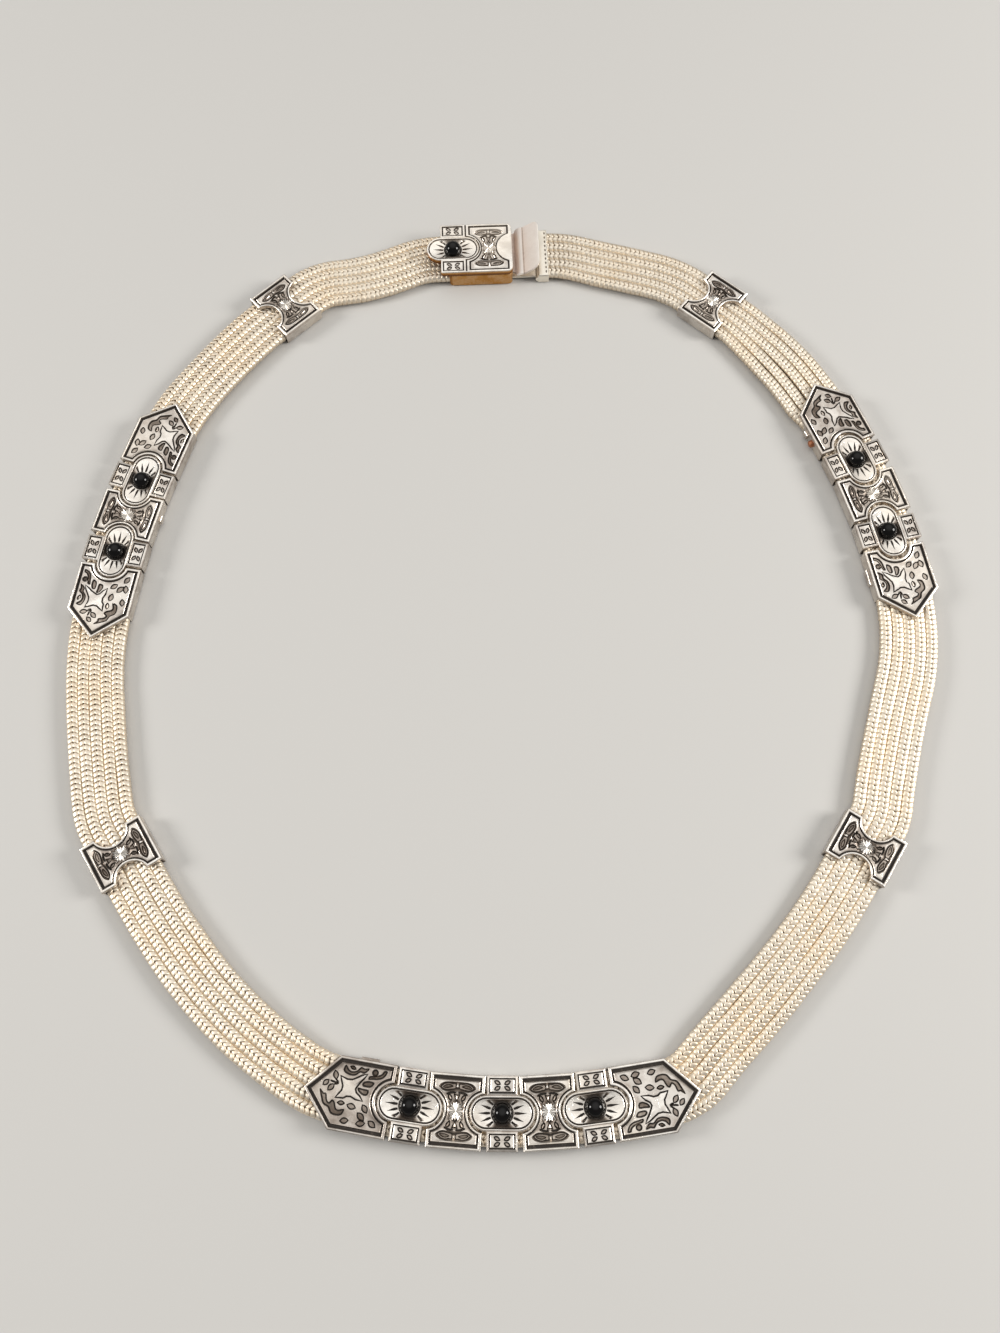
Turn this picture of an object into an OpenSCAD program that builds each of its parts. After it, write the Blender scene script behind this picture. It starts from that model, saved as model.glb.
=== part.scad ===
// A choker of five flat-laid woven strands that run side by side through slotted plates.
// The band is closed and lies flat on its back: the plates face +Z, the front group of
// seven plates is at -Y and the box clasp is at +Y. Millimetres throughout.

/* [Band] */
// Width of one woven strand
strand_w = 1.8; // [1.5:0.05:1.8]
// Thickness of one woven strand
strand_h = 1.5; // [1.2:0.05:1.55]
// Distance between the middles of two strands
strand_pitch = 1.86; // [1.84:0.01:1.88]

/* [Plates] */
// Width of every plate across the band
plate_w = 10.4; // [10.4:0.1:11]
// Thickness from the back of the sleeve to the top of the rim
plate_t = 2.8; // [2.8:0.1:3.4]
// Length of an hourglass plate along the band
hour_l = 8.1; // [7.6:0.1:8.2]
// Length of the square part of an oval plate
block_l = 4.5; // [4.2:0.1:4.6]
// Length of the oval dish
oval_l = 9.6; // [9.2:0.1:9.7]
// Width of the oval dish
oval_w = 4.9; // [4.6:0.1:5]
// Length of a pointed plate from its base to its shoulders
tip_base = 8.5; // [8:0.1:8.8]
// Length of the point beyond the shoulders
tip_point = 4.6; // [4:0.1:5]
// Gap between two plates on the middle line
plate_gap = 0.5; // [0.46:0.02:0.6]
// Width of the raised rim round a plate
rim_w = 0.5; // [0.4:0.05:0.6]
// Width of the sunk line inside the rim
groove_w = 0.28; // [0.2:0.02:0.34]

/* [Stones] */
// Diameter of a round cabochon
stone_d = 3; // [2.6:0.1:3.1]
// Height of the dome above its girdle
stone_dome = 1.3; // [1:0.1:1.4]

/* [Clasp] */
// Thickness of the clasp's box with its soldered faces
clasp_t = 4.2; // [4.2:0.1:4.5]
// Thickness of the sprung sheet
lever_t = 0.4; // [0.3:0.05:0.45]

/* [Hidden] */
$fn = 48;
strand_n = 5;
strand_z = 0.4;              // underside of the strands
floor_t = 0.3;               // back sheet of a sleeve
lid_z = 2.1;                 // underside of a sleeve's lid
chan_w = 9.62;               // slot through a sleeve
sunk_d = 0.42;               // depth of the sunk line and of the dish
field_d = 0.13;              // depth of the face inside the sunk line
notch_r = oval_w / 2 + 0.25; // round notch that takes the end of a neighbour's dish
notch_out = 0.4;             // its centre lies this far outside the plate's edge
pitch = (hour_l + block_l) / 2 + plate_gap;
tip_at = block_l / 2 + plate_gap;
// The plates of the right group have slid a little further apart.
right_gap = 0.8;
right_pitch = (hour_l + block_l) / 2 + right_gap;
right_tip_at = block_l / 2 + right_gap;
oval_c = oval_l / 2 - oval_w / 2;

// Where the band runs, anticlockwise seen from above, starting at the clasp.
// Columns: x, y, heading in degrees, bend radius (0 is straight), and how far the run
// reaches back and ahead of that point.
way = [
    [-2.75, 74.4, 182.3, 0, 11, 9.2],        // clasp
    [-23.75, 70.35, 198, 0, 0, 0],           // free band
    [-39.75, 63.15, 222.5, 0, 4.4, 4.4],     // upper left plate
    [-49.05, 53.55, 231, 0, 0, 0],           // free band
    [-64.35, 21.15, 256.5, 125, 17.8, 17.8], // left group
    [-64.75, -24.15, 280.5, 0, 0, 0],        // free band
    [-59.75, -36.75, 302, 0, 4.4, 4.4],      // lower left plate
    [-35.95, -65.05, 323, 0, 0, 0],          // free band
    [-0.35, -74.55, 359.5, 100, 24.9, 24.9], // front group
    [33.85, -63.75, 405, 0, 0, 0],           // free band
    [56.45, -35.75, 417.5, 0, 4.4, 4.4],     // lower right plate
    [60.95, -25.25, 436, 0, 0, 0],           // free band
    [63.55, 25.1, 466.8, 100, 18.4, 18.4],   // right group
    [47.05, 55.95, 496, 0, 0, 0],            // free band
    [38.15, 63.95, 501, 0, 4.4, 4.4],        // upper right plate
    [19.65, 72.55, 525.5, 0, 0, 0],          // free band
];
CLASP = 0;
UPPER_LEFT = 2;
LEFT = 4;
LOWER_LEFT = 6;
FRONT = 8;
LOWER_RIGHT = 10;
RIGHT = 12;
UPPER_RIGHT = 14;

function unit(a) = [cos(a), sin(a)];
function left_of(v) = [-v[1], v[0]];
function turned(r, s) = r == 0 ? 0 : s / r * 180 / PI;
// A point that lies s along a run which passes p with heading h and bends with radius r.
function along(p, h, r, s) = r == 0
    ? p + s * unit(h)
    : p + r * left_of(unit(h)) - r * left_of(unit(h + turned(r, s)));
function spot(i, s) = along([way[i][0], way[i][1]], way[i][2], way[i][3], s);
function aim(i, s) = way[i][2] + turned(way[i][3], s);
function wrap(a) = a - 360 * floor((a + 180) / 360);

// A stretch of band is [start point, heading, bend radius, length].
function stretch(p, h, r, l) = [p, h, r, l];
// Two arcs that leave p with heading h, meet in the middle and reach q with heading k.
function link_reach(v, t, c) = c < 0.000001
    ? v * v / (2 * (v * t))
    : (sqrt((v * t) * (v * t) + 2 * c * (v * v)) - v * t) / (2 * c);
function arc_stretch(p, h, turn, d) = abs(turn) < 0.05
    ? stretch(p, h + turn / 2, 0, 2 * d)
    : stretch(p, h, d / tan(turn / 2), d / tan(turn / 2) * turn * PI / 180);
function two_arcs(p, h, q, k) =
    let (
        d = link_reach(q - p, unit(h) + unit(k), 1 - unit(h) * unit(k)),
        a = p + d * unit(h),
        b = q - d * unit(k),
        m = atan2(b[1] - a[1], b[0] - a[0])
    )
    [arc_stretch(p, h, wrap(m - h), d), arc_stretch((a + b) / 2, m, wrap(k - m), d)];
function run_of(i) =
    stretch(spot(i, -way[i][4]), aim(i, -way[i][4]), way[i][3], way[i][4] + way[i][5]);
function link_after(i) =
    let (j = (i + 1) % len(way))
    two_arcs(spot(i, way[i][5]), aim(i, way[i][5]), spot(j, -way[j][4]), aim(j, -way[j][4]));

// The strands start in the clasp's box and end in the cap of its tongue.
socket_in = 8.0;
cap_in = -10.1;
band = [
    stretch(spot(CLASP, socket_in), aim(CLASP, 0), 0, way[CLASP][5] - socket_in),
    for (i = [0:len(way) - 1]) each [
        if (i > 0 && way[i][4] > 0) run_of(i),
        each link_after(i)
    ],
    stretch(spot(CLASP, -way[CLASP][4]), aim(CLASP, 0), 0, way[CLASP][4] + cap_in),
];

// Every point of the middle line where a stretch starts or has turned by a few degrees,
// as [point, heading].
function parts_of(s) = ceil(abs(turned(s[2], s[3])) / 4 + 0.5);
function mark(s, f) = [along(s[0], s[1], s[2], s[3] * f), s[1] + turned(s[2], s[3] * f)];
trail = [
    for (s = band) for (i = [0:parts_of(s) - 1]) mark(s, i / parts_of(s)),
    mark(band[len(band) - 1], 1),
];
function beside(off) = [for (t = trail) t[0] + off * left_of(unit(t[1]))];
function backwards(v) = [for (i = [len(v) - 1:-1:0]) v[i]];

module strand(k) {
    off = (k - (strand_n - 1) / 2) * strand_pitch;
    color("#e6dac2") translate([0, 0, strand_z]) linear_extrude(strand_h)
        polygon(concat(beside(off - strand_w / 2), backwards(beside(off + strand_w / 2))));
}

// Places its children with +X along the band and +Y to the inside of the loop.
module on_band(i, s, flip = 0) {
    p = spot(i, s);
    translate([p[0], p[1], 0]) rotate([0, 0, aim(i, s) + flip]) children();
}

module lens(l, w) {
    r = (l * l / 4 + w * w / 4) / w;
    intersection() {
        translate([0, r - w / 2]) circle(r);
        translate([0, w / 2 - r]) circle(r);
    }
}

// Outline of the hourglass, drawn in by d on all sides.
module hourglass_outline(d) {
    difference() {
        square([hour_l - 2 * d, plate_w - 2 * d], center = true);
        for (e = [-1, 1])
            translate([e * (hour_l / 2 + notch_out), 0]) circle(notch_r + d);
    }
}

// Outline of the pointed plate: base edge on x = 0, shoulders at tip_base.
module pointed_outline(d) {
    lean = atan2(plate_w / 2, tip_point);
    point = tip_base + tip_point - d / sin(lean);
    half = plate_w / 2 - d;
    difference() {
        polygon([[d, -half], [point - half / tan(lean), -half], [point, 0],
            [point - half / tan(lean), half], [d, half]]);
        translate([-notch_out, 0]) circle(notch_r + d);
    }
}

module oval_outline(d) {
    square([2 * oval_c, oval_w - 2 * d], center = true);
    for (e = [-1, 1]) translate([e * oval_c, 0]) circle(oval_w / 2 - d);
}

module slot_through(l) {
    translate([-l / 2, -chan_w / 2, floor_t]) cube([l, chan_w, lid_z - floor_t]);
}

module raise(z, h) {
    translate([0, 0, z]) linear_extrude(h) children();
}

// A star with n points.
module star(n, ro, ri) {
    polygon([for (i = [0:2 * n - 1]) (i % 2 == 0 ? ro : ri) * unit(i * 180 / n)]);
}

// A spray of three leaves and two buds that opens towards +Y.
module spray() {
    for (a = [-52, 0, 52])
        rotate(a) translate([0, 0.85]) rotate(90) lens(1.3, 0.5);
    for (e = [-1, 1]) translate([e * 1.75, 0.55]) rotate(e * 40) lens(1.1, 0.42);
}

module bird() {
    rotate(38) lens(3.6, 0.95);
    translate([-0.5, 0.75]) rotate(105) lens(2.6, 0.8);
    translate([0.75, -0.55]) rotate(-20) lens(2.6, 0.8);
    translate([-1.35, -1.25]) rotate(62) lens(1.8, 0.4);
    translate([-1.55, -0.9]) rotate(20) lens(1.8, 0.4);
    translate([1.3, 1.02]) circle(0.36);
}

module petals() {
    for (a = [45:90:359]) rotate(a) translate([0.72, 0]) lens(0.95, 0.42);
}

module sunk_face(t) {
    translate([0, 0, t - sunk_d]) linear_extrude(1) difference() {
        children(0);
        children(1);
    }
    translate([0, 0, t - field_d]) linear_extrude(1) difference() {
        children(1);
        children(2);
    }
}

module hourglass_relief() {
    star(8, 0.98, 0.5);
    for (e = [0, 180]) rotate(e) {
        translate([0, 2.55]) spray();
        translate([0, 1.75]) rotate(90) lens(0.9, 0.4);
    }
}

module hourglass_plate(i, s) {
    color("#b8ada0") on_band(i, s) difference() {
        union() {
            translate([-hour_l / 2, -plate_w / 2, 0]) cube([hour_l, plate_w, plate_t]);
            children();
        }
        slot_through(hour_l + 2);
        for (e = [-1, 1])
            translate([e * (hour_l / 2 + notch_out), 0, lid_z - 0.5])
                cylinder(r = notch_r, h = 2);
        sunk_face(plate_t) {
            hourglass_outline(rim_w);
            hourglass_outline(rim_w + groove_w);
            hourglass_relief();
        }
    }
}

module pointed_relief() {
    translate([6.3, 0]) bird();
    for (e = [-1, 1]) {
        for (x = [2.6:1.5:7.2]) translate([x, e * 3.55]) rotate(e * 35) lens(1.35, 0.6);
        translate([8.6, e * 2.7]) rotate(-e * 50) lens(1.4, 0.6);
        translate([9.9, e * 1.2]) rotate(-e * 60) lens(1.2, 0.5);
    }
}

// Keeper lug on the side wall of a sleeve, on the side of +Y or -Y.
module side_lug(x, l, side) {
    translate([x - l / 2, side * plate_w / 2 - 0.3, 0.5]) cube([l, 0.6, 1.3]);
}

// Round bead of solder on the side wall.
module side_bead(x, side) {
    translate([x, side * (plate_w / 2 - 0.2), 1.15])
        rotate([-side * 90, 0, 0]) cylinder(r1 = 0.65, r2 = 0.4, h = 0.75);
}

// The slot leans a little, because the band bends on its way through this long sleeve.
module pointed_plate(i, s, flip) {
    lean = cos(flip) * 0.55 * turned(way[i][3], tip_base) / 2;
    color("#b8ada0") on_band(i, s, flip) {
        difference() {
            union() {
                translate([0, -plate_w / 2, 0]) cube([tip_base, plate_w, plate_t]);
                raise(lid_z, plate_t - lid_z)
                    polygon([[tip_base - 0.5, -plate_w / 2], [tip_base, -plate_w / 2],
                        [tip_base + tip_point, 0], [tip_base, plate_w / 2],
                        [tip_base - 0.5, plate_w / 2]]);
                children();
            }
            rotate([0, 0, lean]) translate([tip_base / 2, 0, 0]) slot_through(tip_base + 2);
            translate([-notch_out, 0, lid_z - 0.5]) cylinder(r = notch_r, h = 2);
            sunk_face(plate_t) {
                pointed_outline(rim_w);
                pointed_outline(rim_w + groove_w);
                pointed_relief();
            }
        }
    }
}

module ray(l, w) {
    polygon([[0, -w / 5], [l, -w / 2], [l, w / 2], [0, w / 5]]);
}

// The dish of an oval: cut out below t, with rays left standing at both ends.
module dish(t) {
    difference() {
        raise(t - sunk_d, 1) oval_outline(0.45);
        raise(t - 0.5, 0.4)
            for (e = [0, 180]) rotate(e)
                for (a = [-44:22:44]) rotate(a) translate([1.85, 0]) ray(2.3 - abs(a) / 60, 0.5);
    }
    translate([0, 0, t - 0.5]) cylinder(d = stone_d + 0.08, h = 2);
}

module side_panels(t) {
    for (e = [-1, 1])
        translate([0, e * (plate_w + oval_w) / 4, 0]) {
            raise(t - sunk_d, 1) difference() {
                square([block_l - 0.5, (plate_w - oval_w) / 2 - 0.5], center = true);
                square([block_l - 0.9, (plate_w - oval_w) / 2 - 0.9], center = true);
            }
            raise(t - 0.2, 1) intersection() {
                square([block_l - 1, (plate_w - oval_w) / 2 - 1], center = true);
                petals();
            }
        }
}

module oval_plate(i, s) {
    color("#b8ada0") on_band(i, s) difference() {
        union() {
            translate([-block_l / 2, -plate_w / 2, 0]) cube([block_l, plate_w, plate_t]);
            raise(lid_z, plate_t - lid_z) oval_outline(0);
        }
        slot_through(block_l + 2);
        dish(plate_t);
        side_panels(plate_t);
    }
}

module stone(i, s, t) {
    r = (stone_d * stone_d / 4 + stone_dome * stone_dome) / (2 * stone_dome);
    color("#0c0b0d") on_band(i, s) {
        translate([0, 0, t - 0.48]) cylinder(d = stone_d, h = 0.42);
        intersection() {
            translate([0, 0, t - 0.06]) cylinder(d = stone_d, h = stone_dome);
            translate([0, 0, t - 0.06 + stone_dome - r]) sphere(r);
        }
    }
}

// The clasp. Its middle is the middle of the hourglass face; the tongue goes in from -X.
mouth_x = -4.75;
face_pitch = (hour_l + block_l) / 2 + 0.3;
box_end = face_pitch + block_l / 2;
pivot_x = 2.9;
pivot_z = 1.5;

module box_outline() {
    translate([mouth_x + 1, -plate_w / 2]) square([box_end - mouth_x - 1, plate_w]);
    translate([mouth_x, 1 - plate_w / 2]) square([2, plate_w - 2]);
    for (e = [-1, 1]) translate([mouth_x + 1, e * (plate_w / 2 - 1)]) circle(1);
}

module clasp_box() {
    color("#c6b08a") on_band(CLASP, 0) difference() {
        union() {
            raise(0, clasp_t) box_outline();
            raise(clasp_t - 1.05, 1.05) translate([face_pitch, 0]) oval_outline(0);
        }
        // room for the tongue, and the lower mouth that its catch hooks behind
        translate([mouth_x + 0.5, -4.4, 0.4]) cube([6.9 - mouth_x - 0.5, 8.8, 2.75]);
        translate([mouth_x - 1, -4.4, 0.4]) cube([2, 8.8, 2.25]);
        translate([socket_in - 0.05, -chan_w / 2, floor_t])
            cube([4, chan_w, lid_z - floor_t]);
        sunk_face(clasp_t) {
            hourglass_outline(rim_w);
            hourglass_outline(rim_w + groove_w);
            hourglass_relief();
        }
        translate([face_pitch, 0, 0]) {
            dish(clasp_t);
            side_panels(clasp_t);
        }
        // the joint between the two soldered faces
        raise(clasp_t - 0.35, 1) difference() {
            translate([hour_l / 2, -plate_w]) square([0.3, 2 * plate_w]);
            translate([face_pitch, 0]) oval_outline(-0.3);
        }
        raise(clasp_t - 0.35, 1) intersection() {
            translate([0, -oval_w]) square([hour_l / 2 + 0.3, 2 * oval_w]);
            difference() {
                translate([face_pitch, 0]) oval_outline(-0.3);
                translate([face_pitch, 0]) oval_outline(0);
            }
        }
    }
}

module clasp_tongue() {
    color("#d9cdb8") on_band(CLASP, 0) difference() {
        union() {
            translate([-9.4, -4.2, 0.6]) cube([9.4 + pivot_x + 0.9, 8.4, 0.4]);
            // upright lip behind the fold
            translate([pivot_x + 0.5, -4.2, 0.6]) cube([0.4, 8.4, 1.7]);
            // rolled outer end and the cap over the ends of the strands
            translate([-9.1, 0, 0.95]) rotate([90, 0, 0]) cylinder(r = 0.6, h = 9.8, center = true);
            translate([-10.9, -5, 0.15]) cube([1.9, 10, 2.3]);
        }
        translate([-12, -chan_w / 2, floor_t])
            cube([12 + cap_in + 0.05, chan_w, strand_h + 0.3]);
    }
}

module lever_profile() {
    t = lever_t;
    polygon([
        [pivot_x, pivot_z + t / 2], [-3.3, 2.35], [-3.45, 2.9], [-4.0, 2.9], [-4.15, 2.35],
        [-4.75, 2.35], [-5.3, 2.85], [-5.8, 3.1], [-6.3, 3.15], [-9.0, 5.1],
        [-9.15, 5.1 - t], [-6.4, 3.15 - t * 1.1], [-5.6, 2.6], [-4.9, 2.35 - t],
        [-3.4, 2.35 - t], [pivot_x, pivot_z - t / 2]
    ]);
}

module clasp_lever() {
    color("#c8beb2") on_band(CLASP, 0) {
        translate([pivot_x, 0, pivot_z])
            rotate([90, 0, 0]) cylinder(r = 0.38, h = 8, center = true);
        intersection() {
            rotate([90, 0, 0]) linear_extrude(10, center = true) lever_profile();
            union() {
                translate([-5.2, -4.1, 0]) cube([9, 8.2, 6]);
                translate([-8.2, -5, 0]) cube([3.1, 10, 6]);
                translate([-9.3, -4, 0]) cube([1.2, 8, 6]);
                for (e = [-1, 1]) translate([-8.2, e * 4, 0]) cylinder(r = 1, h = 6);
            }
        }
    }
}

strand(0);  // strand_1
strand(1);  // strand_2
strand(2);  // strand_3
strand(3);  // strand_4
strand(4);  // strand_5
pointed_plate(FRONT, -2 * pitch - tip_at, 180) side_lug(4.25, 2.7, -1);  // front_tip_left
oval_plate(FRONT, -2 * pitch);  // front_oval_left
hourglass_plate(FRONT, -pitch);  // front_hourglass_left
oval_plate(FRONT, 0);  // front_oval_middle
hourglass_plate(FRONT, pitch);  // front_hourglass_right
oval_plate(FRONT, 2 * pitch);  // front_oval_right
pointed_plate(FRONT, 2 * pitch + tip_at, 0);  // front_tip_right
pointed_plate(LEFT, -pitch - tip_at, 180);  // left_tip_upper
oval_plate(LEFT, -pitch);  // left_oval_upper
hourglass_plate(LEFT, 0) side_lug(-1, 1, 1);  // left_hourglass
oval_plate(LEFT, pitch);  // left_oval_lower
pointed_plate(LEFT, pitch + tip_at, 0);  // left_tip_lower
pointed_plate(RIGHT, -right_pitch - right_tip_at, 180) side_lug(4.3, 2.7, -1);  // right_tip_lower
oval_plate(RIGHT, -right_pitch);  // right_oval_lower
hourglass_plate(RIGHT, 0);  // right_hourglass
oval_plate(RIGHT, right_pitch);  // right_oval_upper
pointed_plate(RIGHT, right_pitch + right_tip_at, 0) {  // right_tip_upper
    side_bead(3.2, 1);
    side_lug(5.1, 1, 1);
}
hourglass_plate(UPPER_LEFT, 0);  // upper_left_hourglass
hourglass_plate(UPPER_RIGHT, 0);  // upper_right_hourglass
hourglass_plate(LOWER_LEFT, 0);  // lower_left_hourglass
hourglass_plate(LOWER_RIGHT, 0);  // lower_right_hourglass
stone(FRONT, -2 * pitch, plate_t);  // stone_front_left
stone(FRONT, 0, plate_t);  // stone_front_middle
stone(FRONT, 2 * pitch, plate_t);  // stone_front_right
stone(LEFT, -pitch, plate_t);  // stone_left_upper
stone(LEFT, pitch, plate_t);  // stone_left_lower
stone(RIGHT, -right_pitch, plate_t);  // stone_right_lower
stone(RIGHT, right_pitch, plate_t);  // stone_right_upper
stone(CLASP, face_pitch, clasp_t);  // stone_clasp
clasp_box();
clasp_tongue();
clasp_lever();
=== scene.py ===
# %% [markdown]
# # A woven silver choker with relief plates
# The choker lies on its back in one closed loop. Five flat strands of foxtail weave run side
# by side through slotted plates of blackened silver, and eight of the plates carry a round
# black stone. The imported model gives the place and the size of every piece. This script
# dresses those pieces: it weaves the strands, cuts the ornament and gives every metal its
# finish. All lengths below are written in millimetres and turned into metres at the end.

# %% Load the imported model
import math

import bmesh
import bpy
import numpy as np
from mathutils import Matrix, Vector
from mathutils.geometry import delaunay_2d_cdt


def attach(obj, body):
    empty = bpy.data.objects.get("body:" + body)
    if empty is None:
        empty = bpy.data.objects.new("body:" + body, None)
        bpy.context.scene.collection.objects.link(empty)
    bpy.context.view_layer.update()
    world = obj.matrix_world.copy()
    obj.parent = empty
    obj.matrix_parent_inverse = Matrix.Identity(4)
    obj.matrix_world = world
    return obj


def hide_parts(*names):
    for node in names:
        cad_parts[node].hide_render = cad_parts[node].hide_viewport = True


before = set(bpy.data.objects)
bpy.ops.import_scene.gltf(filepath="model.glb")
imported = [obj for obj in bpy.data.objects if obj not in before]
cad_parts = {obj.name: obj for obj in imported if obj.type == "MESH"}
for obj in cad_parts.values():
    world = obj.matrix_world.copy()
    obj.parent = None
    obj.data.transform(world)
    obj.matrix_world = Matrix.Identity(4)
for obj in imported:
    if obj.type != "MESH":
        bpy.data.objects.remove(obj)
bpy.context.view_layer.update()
MM = 0.001

# %% Helpers
def put(name, data):
    """Makes an object and adds it to the scene."""
    obj = bpy.data.objects.new(name, data)
    bpy.context.collection.objects.link(obj)
    return obj


def wired(tree, kind, inputs=(), **settings):
    """Adds a node, joins each input to a socket or sets its value, and returns the outputs."""
    node = tree.nodes.new(kind)
    for key, value in settings.items():
        setattr(node, key, value)
    for label, value in dict(inputs).items():
        if isinstance(value, bpy.types.NodeSocket):
            tree.links.new(value, node.inputs[label])
        else:
            node.inputs[label].default_value = value
    return node.outputs


def clamp(value, low=0.0, high=1.0):
    return min(high, max(low, value))


# %% [markdown]
# ## Camera, floor and light
# The view was worked out from the plates, which repeat round the loop: the lens is 185 mm
# above the table and looks down at 72 degrees. The floor is a plain pale sheet. Polished
# silver shows what surrounds it, so the sky is brightest above and behind the choker, where
# the flat faces mirror it, and two round lamps stand low at the sides. They give each black
# stone its two bright spots.

# %% Camera
CAMERA_AT = (-0.68, -65.41, 185.1)
CAMERA_ELEVATION = 71.99
FOCAL_PIXELS = 1171.7
IMAGE_HEIGHT = 1333
SENSOR = 36.0

camera_data = bpy.data.cameras.new("camera")
camera_data.sensor_width = SENSOR
camera_data.lens = FOCAL_PIXELS / IMAGE_HEIGHT * SENSOR
camera_data.clip_start = 0.005
camera_data.clip_end = 20
camera = put("camera", camera_data)
camera.location = Vector(CAMERA_AT) * MM
camera.rotation_euler = (math.radians(90 - CAMERA_ELEVATION), 0, 0)
bpy.context.scene.camera = camera
print("lens: %.2f mm" % camera_data.lens)

# %% Floor
def plain_material(name, color, rough):
    mat = bpy.data.materials.new(name)
    mat.use_nodes = True
    shader = mat.node_tree.nodes["Principled BSDF"]
    shader.inputs["Base Color"].default_value = (*color, 1)
    shader.inputs["Roughness"].default_value = rough
    return mat


FLOOR_HALF, FLOOR_Z = 3.0, -0.00003
sheet = bpy.data.meshes.new("floor")
sheet.from_pydata([(x * FLOOR_HALF, y * FLOOR_HALF, FLOOR_Z)
                   for x, y in ((-1, -1), (1, -1), (1, 1), (-1, 1))], [], [(0, 1, 2, 3)])
sheet.materials.append(plain_material("floor_paper", (0.56, 0.55, 0.53), 0.75))
floor = put("floor", sheet)
print("floor: %.0f m square" % (2 * FLOOR_HALF))

# %% Lights
LAMP_COLOR = (1.0, 0.98, 0.95)
LAMP_AIM = Vector((0, -0.03, 0))


def round_lamp(name, at, size, watts):
    lamp = bpy.data.lights.new(name, "AREA")
    lamp.shape = "DISK"
    lamp.size = size
    lamp.energy = watts
    lamp.color = LAMP_COLOR
    obj = put(name, lamp)
    obj.location = at
    obj.rotation_euler = (LAMP_AIM - Vector(at)).to_track_quat("-Z", "Y").to_euler()


round_lamp("lamp_right", (0.60, 0.012, 0.35), 0.28, 3.7)
round_lamp("lamp_left", (-0.60, 0.012, 0.33), 0.22, 2.4)


def studio_world(base, peak, toward, spread):
    """A soft even sky that is brightest round one direction."""
    world = bpy.data.worlds.new("studio")
    world.use_nodes = True
    tree = world.node_tree
    sky = tree.nodes["Background"].inputs
    sky["Color"].default_value = (1.0, 0.985, 0.96, 1)
    place = wired(tree, "ShaderNodeTexCoord")["Generated"]
    facing = wired(tree, "ShaderNodeVectorMath", {0: place, 1: Vector(toward).normalized()},
                   operation="DOT_PRODUCT")["Value"]
    edge = math.cos(math.radians(spread))
    glow = wired(tree, "ShaderNodeMapRange",
                 {"Value": facing, "From Min": edge, "To Min": base, "To Max": peak},
                 interpolation_type="SMOOTHSTEP")["Result"]
    tree.links.new(glow, sky["Strength"])
    return world


scene = bpy.context.scene
scene.world = studio_world(0.26, 1.15, (0, 0.42, 1.1), 54)
scene.view_settings.view_transform = "Standard"

# %% [markdown]
# ## The route of the band
# A woven band bends only sideways, so its route is a chain of circular arcs. The plates sit
# on their own stretch of it. Sixteen points with a heading are enough, and two arcs link
# each point to the next. The same route gives every plate its place and every strand its
# path.

# %% Route points
# x, y, heading, bend radius (0 is straight), reach back, reach ahead
WAY = [
    (-2.75, 74.4, 182.3, 0, 11, 9.2),
    (-23.75, 70.35, 198, 0, 0, 0),
    (-39.75, 63.15, 222.5, 0, 4.4, 4.4),
    (-49.05, 53.55, 231, 0, 0, 0),
    (-64.35, 21.15, 256.5, 125, 17.8, 17.8),
    (-64.75, -24.15, 280.5, 0, 0, 0),
    (-59.75, -36.75, 302, 0, 4.4, 4.4),
    (-35.95, -65.05, 323, 0, 0, 0),
    (-0.35, -74.55, 359.5, 100, 24.9, 24.9),
    (33.85, -63.75, 405, 0, 0, 0),
    (56.45, -35.75, 417.5, 0, 4.4, 4.4),
    (60.95, -25.25, 436, 0, 0, 0),
    (63.55, 25.1, 466.8, 100, 18.4, 18.4),
    (47.05, 55.95, 496, 0, 0, 0),
    (38.15, 63.95, 501, 0, 4.4, 4.4),
    (19.65, 72.55, 525.5, 0, 0, 0),
]
CLASP, UPPER_LEFT, LEFT, LOWER_LEFT = 0, 2, 4, 6
FRONT, LOWER_RIGHT, RIGHT, UPPER_RIGHT = 8, 10, 12, 14
SOCKET_IN = 8.0
CAP_IN = -10.1
print("way points:", len(WAY))


# %% Arcs
def unit(deg):
    a = math.radians(deg)
    return np.array([math.cos(a), math.sin(a)])


def left_of(v):
    return np.array([-v[1], v[0]])


def turned(radius, s):
    return 0.0 if radius == 0 else math.degrees(s / radius)


def along(start, heading, radius, s):
    if radius == 0:
        return start + s * unit(heading)
    turn = turned(radius, s)
    return start + radius * (left_of(unit(heading)) - left_of(unit(heading + turn)))


def spot(i, s):
    x, y, heading, radius = WAY[i][:4]
    return along(np.array([x, y]), heading, radius, s), heading + turned(radius, s)


def arc(p, heading, turn, reach):
    turn = (turn + 180) % 360 - 180
    if abs(turn) < 0.05:
        return p, heading + turn / 2, 0.0, 2 * reach
    radius = reach / math.tan(math.radians(turn / 2))
    return p, heading, radius, radius * math.radians(turn)


def two_arcs(p, heading, q, end):
    u, w, v = unit(heading), unit(end), q - p
    t, c = u + w, 1 - u @ w
    if c < 1e-6:
        reach = v @ v / (2 * (v @ t))
    else:
        reach = (math.sqrt((v @ t) ** 2 + 2 * c * (v @ v)) - v @ t) / (2 * c)
    a, b = p + reach * u, q - reach * w
    middle = math.degrees(math.atan2(b[1] - a[1], b[0] - a[0]))
    return [arc(p, heading, middle - heading, reach),
            arc((a + b) / 2, middle, end - middle, reach)]


# %% Middle line of the band
def band_stretches():
    p, h = spot(CLASP, SOCKET_IN)
    out = [(p, h, 0.0, WAY[CLASP][5] - SOCKET_IN)]
    for i, (_, _, _, radius, back, ahead) in enumerate(WAY):
        if i and back:
            p, h = spot(i, -back)
            out.append((p, h, radius, back + ahead))
        j = (i + 1) % len(WAY)
        out += two_arcs(*spot(i, ahead), *spot(j, -WAY[j][4]))
    p, h = spot(CLASP, -WAY[CLASP][4])
    out.append((p, h, 0.0, WAY[CLASP][4] + CAP_IN))
    return out


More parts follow.
